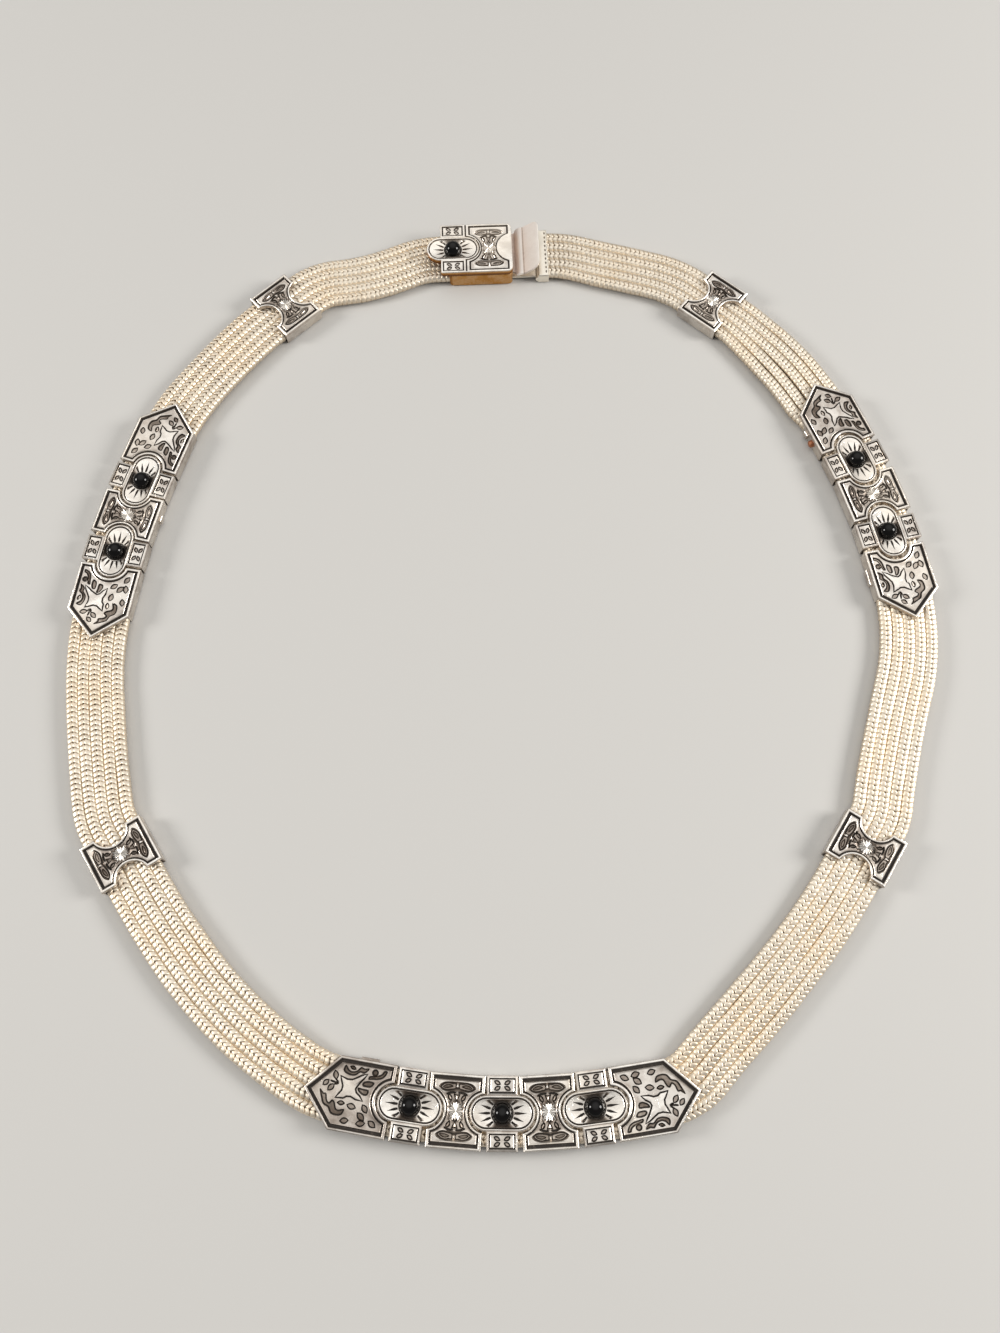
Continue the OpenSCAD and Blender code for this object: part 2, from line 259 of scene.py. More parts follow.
def sample_band(step):
    points, headings = [], []
    stretches = band_stretches()
    for k, (p, h, radius, length) in enumerate(stretches, 1):
        n = max(1, math.ceil(length / step))
        for i in range(n + (k == len(stretches))):
            s = length * i / n
            points.append(along(p, h, radius, s))
            headings.append(h + turned(radius, s))
    points, headings = np.array(points), np.array(headings)
    gaps = np.linalg.norm(np.diff(points, axis=0), axis=1)
    return points, headings, np.concatenate([[0], np.cumsum(gaps)])


MIDDLE, HEADING, TRAVEL = sample_band(0.5)
print("middle line: %.0f mm in %d points" % (TRAVEL[-1], len(MIDDLE)))

# %% [markdown]
# ## Shader groups
# Every metal here shares two effects. Handling leaves fine scratches and soft dents, and
# time leaves a dark film in everything that a polishing cloth doesn't reach; the same group
# also lays painted shade wherever a mesh marks a spot as low. Each effect is one node group
# with its own inputs, so a material only says how much of it the piece has.

# %% Group helpers
def new_group(name, inputs, outputs):
    group = bpy.data.node_groups.new(name, "ShaderNodeTree")
    for label, value in inputs:
        socket = group.interface.new_socket(label, in_out="INPUT", socket_type="NodeSocketFloat")
        socket.default_value = value
    for label in outputs:
        group.interface.new_socket(label, in_out="OUTPUT", socket_type="NodeSocketFloat")
    start = group.nodes.new("NodeGroupInput").outputs
    end = group.nodes.new("NodeGroupOutput").inputs
    return group, start, end


def math_node(tree, operation, *values, clamp=False):
    return wired(tree, "ShaderNodeMath", enumerate(values), operation=operation,
                 use_clamp=clamp)[0]


def noise_node(tree, vector, scale, detail=3.0, rough=0.5):
    return wired(tree, "ShaderNodeTexNoise", {"Vector": vector, "Scale": scale,
                                              "Detail": detail, "Roughness": rough})["Fac"]


def soft_step(tree, value, low, high):
    return wired(tree, "ShaderNodeMapRange", {"Value": value, "From Min": low, "From Max": high},
                 interpolation_type="SMOOTHSTEP")["Result"]


# %% Handling: scratches and dents
def line_noise(tree, place, scale, angle, low, high, stretch=16):
    """Fine lines that run at an angle to X."""
    spun = wired(tree, "ShaderNodeVectorRotate", {"Vector": place, "Angle": math.radians(angle)},
                 rotation_type="Z_AXIS")["Vector"]
    drawn = wired(tree, "ShaderNodeMapping", {"Vector": spun, "Scale": (1, stretch, 1)})["Vector"]
    return soft_step(tree, noise_node(tree, drawn, scale, 2, 0.6), low, high)


def handling_group():
    group, start, end = new_group(
        "handling", [("Scratches", 1.0), ("Dents", 1.0), ("Brushing", 0.0)], ["Height", "Rub"])
    place = wired(group, "ShaderNodeTexCoord")["Object"]
    lines = line_noise(group, place, 500, 24, 0.63, 0.70)
    for scale, angle in ((620, -38), (430, 71)):
        lines = math_node(group, "ADD", lines, line_noise(group, place, scale, angle, 0.64, 0.71))
    brush = line_noise(group, place, 260, 93, 0.25, 0.75, 40)
    dents = noise_node(group, place, 1300)
    height = math_node(group, "SUBTRACT", math_node(group, "MULTIPLY", dents, start["Dents"]),
                       math_node(group, "MULTIPLY", lines, start["Scratches"]))
    height = math_node(group, "MULTIPLY_ADD", brush, start["Brushing"], height)
    group.links.new(height, end["Height"])
    rub = noise_node(group, place, 350, 4, 0.6)
    group.links.new(soft_step(group, rub, 0.35, 0.7), end["Rub"])
    return group


HANDLING = handling_group()

# %% Tarnish and painted shade: a film, and darkening wherever the face is marked low
def tarnish_and_shade_group():
    group, start, end = new_group("tarnish_and_shade", [("Low", 0.0), ("Film", 0.2)], ["Dark", "Warm"])
    place = wired(group, "ShaderNodeTexCoord")["Object"]
    cloud = soft_step(group, noise_node(group, place, 420, 4, 0.6), 0.4, 0.72)
    film = math_node(group, "MULTIPLY", cloud, start["Film"])
    uneven = math_node(group, "MULTIPLY_ADD", noise_node(group, place, 2600, 2, 0.6), 0.5, 0.75)
    # the Low input brings the blackening of the cuts and the painted shade of hollows and
    # undersides alike
    low = math_node(group, "MULTIPLY", start["Low"], uneven)
    group.links.new(math_node(group, "ADD", low, film, clamp=True), end["Dark"])
    warm = noise_node(group, place, 130)
    group.links.new(soft_step(group, warm, 0.42, 0.68), end["Warm"])
    return group


TARNISH_AND_SHADE = tarnish_and_shade_group()
print("groups:", HANDLING.name, TARNISH_AND_SHADE.name)

# %% [markdown]
# ## Metals
# The silver is one metal with several finishes. On the relief plates the raised parts are
# polished to a warm white and the low parts are blackened. On the weave the wire is bright
# and creamy, and brown painted shade sits between the links. The clasp is plain sheet with a
# brushed face. The height of a spot on its face comes in as the attribute "low", which the
# builders of the meshes write: 0 where a cloth polishes the metal, 1 at the bottom of a cut.
# On the weave, in the sleeves, on the sides of the dishes, on the lever and in and under the
# clasp box the same attribute also carries painted shade.

# %% Silver
# how dark a spot is when it stops being bare metal, and what is left of the metal then
BARE_UNTIL, METAL_LEFT = 0.45, 0.25
# how much of the warm color shows, and how much rougher tarnish, painted shade and rubbing make the
# face
WARM_SHARE, DARK_ROUGHER, RUB_ROUGHER = 0.55, 0.3, 0.1
BUMP_DISTANCE = 0.00003


def ramp(tree, value, stops):
    fac = wired(tree, "ShaderNodeValToRGB", {"Fac": value})
    elements = fac["Color"].node.color_ramp.elements
    while len(elements) < len(stops):
        elements.new(0.5)
    for element, (at, color) in zip(elements, stops):
        element.position = at
        element.color = (*color, 1)
    return fac["Color"]


def silver(name, tones, warm, rough, film, scratches, dents, bump, brushing=0.0, metallic=1.0):
    """tones are (dark amount, color) stops; warm is the color of the warmer patches."""
    mat = bpy.data.materials.new(name)
    mat.use_nodes = True
    tree = mat.node_tree
    low = wired(tree, "ShaderNodeAttribute", attribute_name="low")["Fac"]
    tarnish_and_shade = wired(tree, "ShaderNodeGroup", {"Low": low, "Film": film}, node_tree=TARNISH_AND_SHADE)
    handling = wired(tree, "ShaderNodeGroup", {"Scratches": scratches, "Dents": dents,
                                               "Brushing": brushing}, node_tree=HANDLING)
    dark = tarnish_and_shade["Dark"]
    tint = math_node(tree, "MULTIPLY", tarnish_and_shade["Warm"],
                     math_node(tree, "SUBTRACT", 1.0, dark, clamp=True))
    tint = math_node(tree, "MULTIPLY", tint, WARM_SHARE)
    color = wired(tree, "ShaderNodeMix", {"Factor": tint, 6: ramp(tree, dark, tones),
                                          7: (*warm, 1)}, data_type="RGBA")[2]
    metal = wired(tree, "ShaderNodeMapRange",
                  {"Value": dark, "From Min": BARE_UNTIL, "From Max": 1.0, "To Min": metallic,
                   "To Max": METAL_LEFT})["Result"]
    gloss = math_node(tree, "MULTIPLY_ADD", dark, DARK_ROUGHER, rough)
    gloss = math_node(tree, "MULTIPLY_ADD", handling["Rub"], RUB_ROUGHER, gloss, clamp=True)
    relief = wired(tree, "ShaderNodeBump", {"Strength": bump, "Distance": BUMP_DISTANCE,
                                            "Height": handling["Height"]})["Normal"]
    shader = tree.nodes["Principled BSDF"].inputs
    for label, socket in (("Base Color", color), ("Metallic", metal), ("Roughness", gloss),
                          ("Normal", relief)):
        tree.links.new(socket, shader[label])
    return mat


RELIEF_SILVER = silver(
    "relief_silver",
    [(0.0, (0.97, 0.93, 0.87)), (0.35, (0.47, 0.41, 0.36)), (0.65, (0.15, 0.115, 0.09)),
     (1.0, (0.022, 0.016, 0.012))],
    (0.95, 0.86, 0.74), 0.22, 0.19, 0.25, 1.0, 0.7)
# the brown stops of the weave are painted shade between the links and under the wires
WOVEN_SILVER = silver(
    "woven_silver",
    [(0.0, (0.88, 0.80, 0.68)), (0.4, (0.70, 0.59, 0.45)), (0.75, (0.36, 0.26, 0.17)),
     (1.0, (0.17, 0.10, 0.055))],
    (0.88, 0.74, 0.56), 0.44, 0.08, 0.3, 0.4, 0.25)
print("metals:", RELIEF_SILVER.name, WOVEN_SILVER.name)

# %% [markdown]
# ## Building forms
# Every form below is first a "shell": three lists with its corners, the darkness of each
# corner and its faces. Most of the plain forms are rings of points joined into a closed
# solid, so one function makes them all.

# %% Shells
def circle(center, radius, turns):
    angles = np.radians(np.arange(turns) * 360 / turns)
    return [(center[0] + radius * math.cos(a), center[1] + radius * math.sin(a)) for a in angles]


def loft(shell, rings, lows, tip=None):
    """Joins rings of points; each ring has one darkness or a list with one for each point."""
    verts, dark, faces = shell
    base, n = len(verts), len(rings[0])
    for ring, low in zip(rings, lows):
        verts.extend(ring)
        dark.extend(low if isinstance(low, list) else [low] * n)
    for a in range(base, base + (len(rings) - 1) * n):
        b = a + 1 if (a - base + 1) % n else a + 1 - n
        faces.append((a, b, b + n, a + n))
    last = base + (len(rings) - 1) * n
    faces.append(tuple(range(base + n - 1, base - 1, -1)))
    if tip is None:
        faces.append(tuple(range(last, last + n)))
    else:
        verts.append(tip)
        dark.append(lows[-1])
        faces.extend((last + k, last + (k + 1) % n, last + n) for k in range(n))


def closed_mesh(name, shell, sharp=None):
    """A smooth mesh with its faces outwards; edges over sharp degrees stay crisp."""
    verts, dark, faces = shell
    mesh = bpy.data.meshes.new(name)
    mesh.from_pydata(verts, [], faces)
    bm = bmesh.new()
    bm.from_mesh(mesh)
    bmesh.ops.recalc_face_normals(bm, faces=bm.faces)
    bm.to_mesh(mesh)
    bm.free()
    mesh.attributes.new("low", "FLOAT", "POINT").data.foreach_set("value", dark)
    mesh.polygons.foreach_set("use_smooth", [True] * len(mesh.polygons))
    if sharp:
        mesh.set_sharp_from_angle(angle=math.radians(sharp))
    return mesh


# %% [markdown]
# ## The woven strands
# A foxtail strand is made of bent rings, each pushed through the one before it. From above
# they show as rows of V with the point to the back, and small dark pits down the middle
# where the wires dive under. One pair of such arms is modelled from listed rings, and Geometry
# Nodes set it along the strand's path at an even pitch. Each pair is turned and sized a little
# differently, because a hand-woven chain is never quite regular. A core painted dark as shade
# runs inside, where a real strand has the rest of its wire in shadow.

# %% One pair of arms
STRAND_N, STRAND_PITCH = 5, 1.86
STRAND_MIDDLE = 1.15
LINK_PITCH = 0.86
ARM_Y = 0.81
WIRE_HALF, WIRE_LENGTH = 0.14, 0.50
ARM_LEAN, ARM_SIDES = 0.54, 8
# distance from the middle, height, length share, share that is buried
ARM_RINGS = [
    (-0.02, 0.50, 0.45, 0.45), (0.13, 0.56, 0.84, 0.1), (0.33, 0.58, 1.0, 0.0),
    (0.70, 0.565, 1.0, 0.0), (0.82, 0.38, 1.0, 0.35), (0.82, -0.30, 1.0, 0.5),
    (0.50, -0.55, 1.0, 0.3), (0.0, -0.45, 0.7, 0.6),
]


def soften(value, power):
    return math.copysign(abs(value) ** power, value)


def arm(shell, side):
    """A flattened wire that rises at the middle and dives at the side of the strand."""
    path = np.array([[ARM_LEAN * (y / ARM_Y - 0.45), y * side, z] for y, z, _, _ in ARM_RINGS])
    angles = [2 * math.pi * (k + 0.5) / ARM_SIDES for k in range(ARM_SIDES)]
    rings, lows = [], []
    for i, (y, z, share, buried) in enumerate(ARM_RINGS):
        tangent = path[min(i + 1, len(path) - 1)] - path[max(i - 1, 0)]
        tangent /= np.linalg.norm(tangent)
        out = np.array([0.0, max(y, 0.02) * side, z * 1.2])
        out -= (out @ tangent) * tangent
        out /= np.linalg.norm(out)
        across = np.cross(tangent, out) * (WIRE_LENGTH * share)
        spread = [(soften(math.cos(a), 0.7), soften(math.sin(a), 0.5)) for a in angles]
        rings.append([tuple((path[i] + across * u + out * (WIRE_HALF * v)) * MM)
                      for u, v in spread])
        # painted shade: the undersides, the sides, the buried parts and the ends are darkened, the
        # tops stay bright
        painted_shade = [0.30 - 0.48 * v + 0.7 * buried + 0.20 * abs(u) ** 3 for u, v in spread]
        lows.append([clamp(h) for h in painted_shade])
    loft(shell, rings, lows)


link_shell = ([], [], [])
for side in (1, -1):
    arm(link_shell, side)
LINK = put("link", closed_mesh("link", link_shell))
print("one pair of arms:", len(LINK.data.polygons), "faces")

# %% Paths of the strands
# In the upper right the band fans out a little between two plates.
FAN_START, FAN_PEAK, FAN_HOLD, FAN_END = 367, 374, 382, 394
FAN_SHARE = [0.05, 0.25, 0.45, 0.8, 1.1]
# The strands go on a little way into the clasp box.
HIDDEN_STEPS = 1.5


def fan(s):
    t = min(clamp((s - FAN_START) / (FAN_PEAK - FAN_START)),
            clamp((FAN_END - s) / (FAN_END - FAN_HOLD)))
    return t * t * (3 - 2 * t)


def strand_path(k):
    rng = np.random.default_rng(40 + k)
    offset = (k - (STRAND_N - 1) / 2) * STRAND_PITCH
    phase = rng.uniform(0, 6.28, 6)
    points = []
    for p, h, s in zip(MIDDLE, HEADING, TRAVEL):
        sway = 0.035 * math.sin(s / 5.1 + phase[0]) + 0.015 * math.sin(s / 2.3 + phase[1])
        lift = 0.03 * math.sin(s / 7.0 + phase[2]) + 0.02 * math.sin(s / 3.1 + phase[3])
        side = offset + sway + FAN_SHARE[k] * fan(s)
        q = p + side * left_of(unit(h))
        points.append((q[0] * MM, q[1] * MM, (STRAND_MIDDLE + lift) * MM))
    into_box = np.array(points[0]) + (np.array(points[0]) - np.array(points[1])) * HIDDEN_STEPS
    return [tuple(into_box)] + points


def path_object(name, points):
    curve = bpy.data.curves.new(name, "CURVE")
    curve.dimensions = "3D"
    spline = curve.splines.new("POLY")
    spline.points.add(len(points) - 1)
    for point, co in zip(spline.points, points):
        point.co = (*co, 1)
    return put(name, curve)


# %% Node tree that weaves a strand
def weave_tree():
    tree = bpy.data.node_groups.new("weave", "GeometryNodeTree")
    face = tree.interface
    face.new_socket("Path", in_out="INPUT", socket_type="NodeSocketGeometry")
    ids = {}
    for label, kind in (("Link", "NodeSocketObject"), ("Pitch", "NodeSocketFloat"),
                        ("Unevenness", "NodeSocketFloat"), ("Core Width", "NodeSocketFloat"),
                        ("Core Height", "NodeSocketFloat"), ("Seed", "NodeSocketInt"),
                        ("Metal", "NodeSocketMaterial")):
        ids[label] = face.new_socket(label, in_out="INPUT", socket_type=kind).identifier
    face.new_socket("Strand", in_out="OUTPUT", socket_type="NodeSocketGeometry")
    start = wired(tree, "NodeGroupInput")

    # links along the path, each turned and sized a little differently
    even = wired(tree, "GeometryNodeResampleCurve",
                 {"Curve": start["Path"], "Length": start["Pitch"]}, mode="LENGTH")
    tangent = wired(tree, "GeometryNodeInputTangent")["Tangent"]
    turn = wired(tree, "FunctionNodeAlignRotationToVector", {"Vector": tangent},
                 axis="X", pivot_axis="Z")
    info = wired(tree, "GeometryNodeObjectInfo", {"Object": start["Link"]})
    place = wired(tree, "GeometryNodeInstanceOnPoints",
                  {"Points": even["Curve"], "Instance": info["Geometry"],
                   "Rotation": turn["Rotation"]})
    spread = wired(tree, "FunctionNodeRandomValue",
                   {"Seed": start["Seed"],
                    0: math_node(tree, "MULTIPLY", start["Unevenness"], -1.0),
                    1: start["Unevenness"]}, data_type="FLOAT_VECTOR")[0]
    tilt = wired(tree, "GeometryNodeRotateInstances",
                 {"Instances": place["Instances"], "Rotation": spread})
    size = wired(tree, "ShaderNodeVectorMath",
                 {0: spread, 1: (0.9, 0.3, 0.5), 2: (1, 1, 1)}, operation="MULTIPLY_ADD")
    grow = wired(tree, "GeometryNodeScaleInstances",
                 {"Instances": tilt["Instances"], "Scale": size[0]})

    # the core, painted dark as shade between the links
    upright = wired(tree, "GeometryNodeSetCurveNormal", {"Curve": start["Path"]}, mode="Z_UP")
    bar = wired(tree, "GeometryNodeCurvePrimitiveQuadrilateral",
                {"Height": start["Core Height"], "Width": start["Core Width"]})
    core = wired(tree, "GeometryNodeCurveToMesh",
                 {"Fill Caps": True, "Curve": upright["Curve"], "Profile Curve": bar["Curve"]})
    dark = wired(tree, "GeometryNodeStoreNamedAttribute",
                 {"Name": "low", "Value": 1.0, "Geometry": core["Mesh"]},
                 data_type="FLOAT", domain="POINT")

    both = wired(tree, "GeometryNodeJoinGeometry", {"Geometry": dark["Geometry"]})["Geometry"]
    tree.links.new(grow["Instances"], both.node.inputs["Geometry"])
    real = wired(tree, "GeometryNodeRealizeInstances", {"Geometry": both})
    metal = wired(tree, "GeometryNodeSetMaterial",
                  {"Geometry": real["Geometry"], "Material": start["Metal"]})
    wired(tree, "NodeGroupOutput", {"Strand": metal["Geometry"]})
    return tree, ids


WEAVE, WEAVE_IDS = weave_tree()
print("weave inputs:", list(WEAVE_IDS))


# %% Weave the five strands
def settle(source, name):
    """Takes what a modifier makes of an object as a plain mesh and drops the object."""
    depsgraph = bpy.context.evaluated_depsgraph_get()
    mesh = bpy.data.meshes.new_from_object(source.evaluated_get(depsgraph))
    mesh.name = name
    bpy.data.objects.remove(source)
    return put(name, mesh)


for k in range(STRAND_N):
    source = path_object("path_%d" % (k + 1), strand_path(k))
    weaver = source.modifiers.new("weave", "NODES")
    weaver.node_group = WEAVE
    for label, value in (("Link", LINK), ("Pitch", LINK_PITCH * MM), ("Unevenness", 0.05),
                         ("Core Width", 1.0 * MM), ("Core Height", 0.8 * MM),
                         ("Seed", 7 + k), ("Metal", WOVEN_SILVER)):
        weaver[WEAVE_IDS[label]] = value
    strand = settle(source, "weave_%d" % (k + 1))
    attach(strand, "choker")
    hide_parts("strand_%d" % (k + 1))
    print(strand.name, len(strand.data.polygons), "faces")
bpy.data.objects.remove(LINK)

# %% [markdown]
# ## Cutting the relief
# A plate's ornament is a set of level lines: the edge of the rim, the bottom of a cut, the
# outline of a leaf, its midrib. Each line has a depth below the top and a darkness, and a
# constrained triangulation joins them into one crisp face. That keeps every edge of a leaf
# or a rim sharp with few triangles, which a grid of heights could not.

# %% Lines and loops
# depth of the ground of a face and of a deep cut
FIELD, CUT = 0.12, 0.40


def ring_points(center, radius, start, end, n):
    angles = np.radians(np.linspace(start, end, n))
    return [(center[0] + radius * math.cos(a), center[1] + radius * math.sin(a)) for a in angles]


def flipped(points, sx=-1, sy=1):
    return [(sx * x, sy * y) for x, y in points]


def rectangle(x0, y0, x1, y1, d):
    """A rectangle with its sides moved inwards by d."""
    return [(x0 + d, y0 + d), (x1 - d, y0 + d), (x1 - d, y1 - d), (x0 + d, y1 - d)]


def curve_through(points, per):
    """A smooth curve from the second point to the last but one, per points to a span."""
    p = np.array(points, float)
    return [0.5 * ((2 * b) + (c - a) * t + (2 * a - 5 * b + 4 * c - d) * t ** 2
                   + (3 * b - a - 3 * c + d) * t ** 3)
            for a, b, c, d in zip(p, p[1:], p[2:], p[3:]) for t in np.arange(per) / per]


def smooth_loop(points, per):
    return curve_through(points[-1:] + points + points[:2], per)


def smooth_path(points, per):
    return np.array(curve_through(points[:1] + points + points[-1:], per) + [points[-1]])


def inset(loop, d):
    """Moves a counterclockwise loop inwards by d, or outwards where d is negative."""
    p = np.array(loop)
    before, after = np.roll(p, 1, axis=0), np.roll(p, -1, axis=0)
    e1, e2 = p - before, after - p
    n1 = np.stack([-e1[:, 1], e1[:, 0]], 1) / np.linalg.norm(e1, axis=1)[:, None]
    n2 = np.stack([-e2[:, 1], e2[:, 0]], 1) / np.linalg.norm(e2, axis=1)[:, None]
    n = n1 + n2
    n /= np.maximum(0.55, (n * n).sum(1) / 2)[:, None]
    return [tuple(q) for q in p + n * d]


def lens_loop(x, y, angle, length, width, n=7):
    a = math.radians(angle)
    top = [(-length / 2 + length * i / n, width / 2 * math.sin(math.pi * i / n) ** 0.85)
           for i in range(n + 1)]
    loop = [(u, -v) for u, v in top] + [(u, v) for u, v in reversed(top[1:-1])]
    return [(x + u * math.cos(a) - v * math.sin(a), y + u * math.sin(a) + v * math.cos(a))
            for u, v in loop]


# %% The relief builder
class Relief:
    def __init__(self):
        self.points, self.depth, self.low, self.edges = [], [], [], []

    def line(self, points, depth, low, closed=True):
        first = len(self.points)
        for p in points:
            self.points.append((float(p[0]), float(p[1])))
            self.depth.append(depth)
            self.low.append(low)
        ids = list(range(first, len(self.points)))
        self.edges += list(zip(ids, ids[1:] + ids[:1] if closed else ids[1:]))
        return ids

    def spokes(self, center, ids, depth, low):
        hub = self.line([center], depth, low, closed=False)[0]
        self.edges += [(hub, i) for i in ids]

    def mirrored(self, other, sx, sy, at=(0, 0)):
        """Adds another relief's lines, flipped and shifted."""
        base = len(self.points)
        self.points += [(at[0] + sx * x, at[1] + sy * y) for x, y in other.points]
        self.depth += other.depth
        self.low += other.low
        self.edges += [(a + base, b + base) for a, b in other.edges]


def inside(loop, x, y):
    p = np.array(loop)
    q = np.roll(p, -1, axis=0)
    crosses = (p[:, 1] > y) != (q[:, 1] > y)
    with np.errstate(divide="ignore", invalid="ignore"):
        at = p[:, 0] + (y - p[:, 1]) * (q[:, 0] - p[:, 0]) / (q[:, 1] - p[:, 1])
    return bool(np.count_nonzero(crosses & (x < at)) % 2)


def triangulate(points, edges, outline):
    coords = [Vector(p) for p in points]
    verts, _, faces, origins, _, _ = delaunay_2d_cdt(coords, edges, [], 0, 1e-7)
    kept = []
    for face in faces:
        cx = sum(verts[i].x for i in face) / 3
        cy = sum(verts[i].y for i in face) / 3
        if inside(outline, cx, cy):
            a, b, c = (verts[i] for i in face)
            if (b - a).cross(c - a) < 0:
                face = face[::-1]
            kept.append(tuple(face))
    return verts, kept, origins


# %% A closed lid from a relief
def lid_shell(relief, outline_ids, top, under, shell, wall_shade=0.2):
    """Adds the relief face, its side wall and its underside to shell (verts, low, faces); the wall
    and the underside get a painted shade.
    """
    outline = [relief.points[i] for i in outline_ids]
    verts, faces, origins = triangulate(relief.points, relief.edges, outline)
    used = sorted({i for f in faces for i in f})
    index, crossings = {}, 0
    old_to_new = {}
    for i in used:
        if origins[i]:
            depth = min(relief.depth[o] for o in origins[i])
            low = min(relief.low[o] for o in origins[i])
            for o in origins[i]:
                old_to_new[o] = len(shell[0])
        else:
            crossings += 1
            gaps = [(verts[i] - Vector(p)).length for p in relief.points]
            nearest = int(np.argmin(gaps))
            depth, low = relief.depth[nearest], relief.low[nearest]
        index[i] = len(shell[0])
        shell[0].append((verts[i].x, verts[i].y, top - depth))
        shell[1].append(low)
    shell[2].extend(tuple(index[i] for i in f) for f in faces)
    rim = [old_to_new[i] for i in outline_ids]
    base = len(shell[0])
    shell[0].extend((x, y, under) for x, y in outline)
    shell[1].extend([wall_shade] * len(outline))
    n = len(rim)
    shell[2].extend((rim[i], base + i, base + (i + 1) % n, rim[(i + 1) % n]) for i in range(n))
    edges = [(i, (i + 1) % n) for i in range(n)]
    _, flat, start = triangulate(outline, edges, outline)
    shell[2].extend(tuple(base + start[i][0] for i in f[::-1]) for f in flat)
    return crossings


# the sleeve under a lid: half width, height, half width and floor of its hole, broken edge
SLEEVE_HALF, SLEEVE_H, HOLE_HALF, HOLE_FLOOR, SLEEVE_EDGE = 5.13, 2.1, 4.81, 0.3, 0.25
SLEEVE_END = [(0, 1, 8, 9), (1, 2, 8), (2, 3, 7, 8), (3, 4, 7), (4, 5, 6, 7)]


def channel_shell(x0, x1, lean, shell):
    """A floor and two side walls, open at both ends; the hole shifts by lean on its way."""
    base, wall = len(shell[0]), SLEEVE_HALF - SLEEVE_EDGE
    for x, shift in ((x0, 0.0), (x1, lean)):
        left, right = shift - HOLE_HALF, shift + HOLE_HALF
        for y, z in ((-SLEEVE_HALF, SLEEVE_H), (-SLEEVE_HALF, SLEEVE_EDGE), (-wall, 0.0),
                     (wall, 0.0), (SLEEVE_HALF, SLEEVE_EDGE), (SLEEVE_HALF, SLEEVE_H),
                     (right, SLEEVE_H), (right, HOLE_FLOOR), (left, HOLE_FLOOR),
                     (left, SLEEVE_H)):
            shell[0].append((x, y, z))
            # painted shade: the hole and the underside of the sleeve are darkened strongly, the
            # outer side walls only a little
            shell[1].append(0.12 if abs(y) > HOLE_HALF + 0.25 else 0.9)
    n = 10
    shell[2].extend((base + i, base + (i + 1) % n, base + n + (i + 1) % n, base + n + i)
                    for i in range(n))
    for quad in SLEEVE_END:
        shell[2].append(tuple(base + q for q in quad))
        shell[2].append(tuple(base + n + q for q in quad[::-1]))


# %% Plate object from a shell
def plate_object(name, shell, at, heading, material=RELIEF_SILVER, dull=0.0, sharp=24):
    """dull darkens the ornament of a plate that was polished less than the others."""
    c, s = unit(heading)
    verts = [((at[0] + c * x - s * y) * MM, (at[1] + s * x + c * y) * MM, z * MM)
             for x, y, z in shell[0]]
    low = [v + dull * (1 - v) for v in shell[1]]
    mesh = closed_mesh(name, (verts, low, shell[2]), sharp)
    mesh.materials.append(material)
    return put(name, mesh)


# %% [markdown]
# ## The ornament
# The plates share one small stock of motifs. Leaves are outlined by a blackened cut. A
# swallow in flight fills each pointed plate, among leaves and sunk gray scrolls. An hourglass
# plate has a star of sixteen rays at its waist, with buds and a palmette towards each end.
# The oval plates hold the stone in a dish with rays cut at both ends, and have two small
# squares with four leaves each.

# %% Leaves and strokes
def nested(r, loop, steps):
    """Level lines at several distances inside a loop: (distance, depth, darkness)."""
    for d, depth, low in steps:
        r.line(inset(loop, d), depth, low)


def leaf(r, x, y, angle, length, width, steps):
    """Level lines round a leaf: (growth, depth, darkness)."""
    for grow, depth, low in steps:
        r.line(lens_loop(x, y, angle, length + grow, width + grow), depth, low)


# a dark outline, its inside sunk and gray
OPEN_STEPS = ((0.16, FIELD, 0.10), (0.05, CUT, 1.0), (-0.22, CUT, 1.0), (-0.32, 0.22, 0.42))


def gray_leaf(r, x, y, angle, length, width, tone=0.5):
    """A sunk gray leaf with a dark edge and a bright midrib."""
    leaf(r, x, y, angle, length, width, ((0.14, FIELD, 0.1), (0.02, CUT, 1.0),
                                         (-0.18, CUT - 0.04, 1.0), (-0.28, 0.27, tone)))
    u = unit(angle) * length * 0.3
    p = np.array([x, y])
    r.line([p - u, p, p + u], 0.16, 0.1, closed=False)


def stroke(r, points, width):
    """A cut that swells in the middle and runs out in a point at both ends."""
    p = smooth_path(points, 3)
    n = len(p)
    for grow, depth, low in ((0.07, FIELD, 0.05), (0.0, CUT, 1.0)):
        left, right = [], []
        for i in range(1, n - 1):
            t = p[i + 1] - p[i - 1]
            swell = 0.45 + 0.55 * math.sin(math.pi * i / (n - 1))
            half = left_of(t / np.linalg.norm(t)) * (width / 2 * swell + grow)
            left.append(p[i] + half)
            right.append(p[i] - half)
        r.line([p[0]] + right + [p[-1]] + left[::-1], depth, low)
    r.line(p[1:-1], CUT, 1.0, closed=False)


# %% [markdown]
# ## The hourglass plate
# The hourglass plates fill the spaces between the ovals, so their sides are notched round
# them. A raised rim with a blackened groove runs along every edge. The palmette of one end
# is drawn once and mirrored to the other, which keeps the two ends alike.

# %% Sizes of the plates
HOUR_L, PLATE_W, PLATE_T, LID_Z = 8.1, 10.4, 2.8, 2.1
BLOCK_L, OVAL_L, OVAL_W = 4.5, 9.6, 4.9
# middle of the round ends of the oval
OVAL_ARC = OVAL_L / 2 - OVAL_W / 2
NOTCH_R, NOTCH_OUT = OVAL_W / 2 + 0.25, 0.4
TIP_BASE, TIP_POINT = 8.5, 4.6
GAP = 0.5
# the rim is narrower round the notches than at the ends
NOTCH_THIN = 0.75
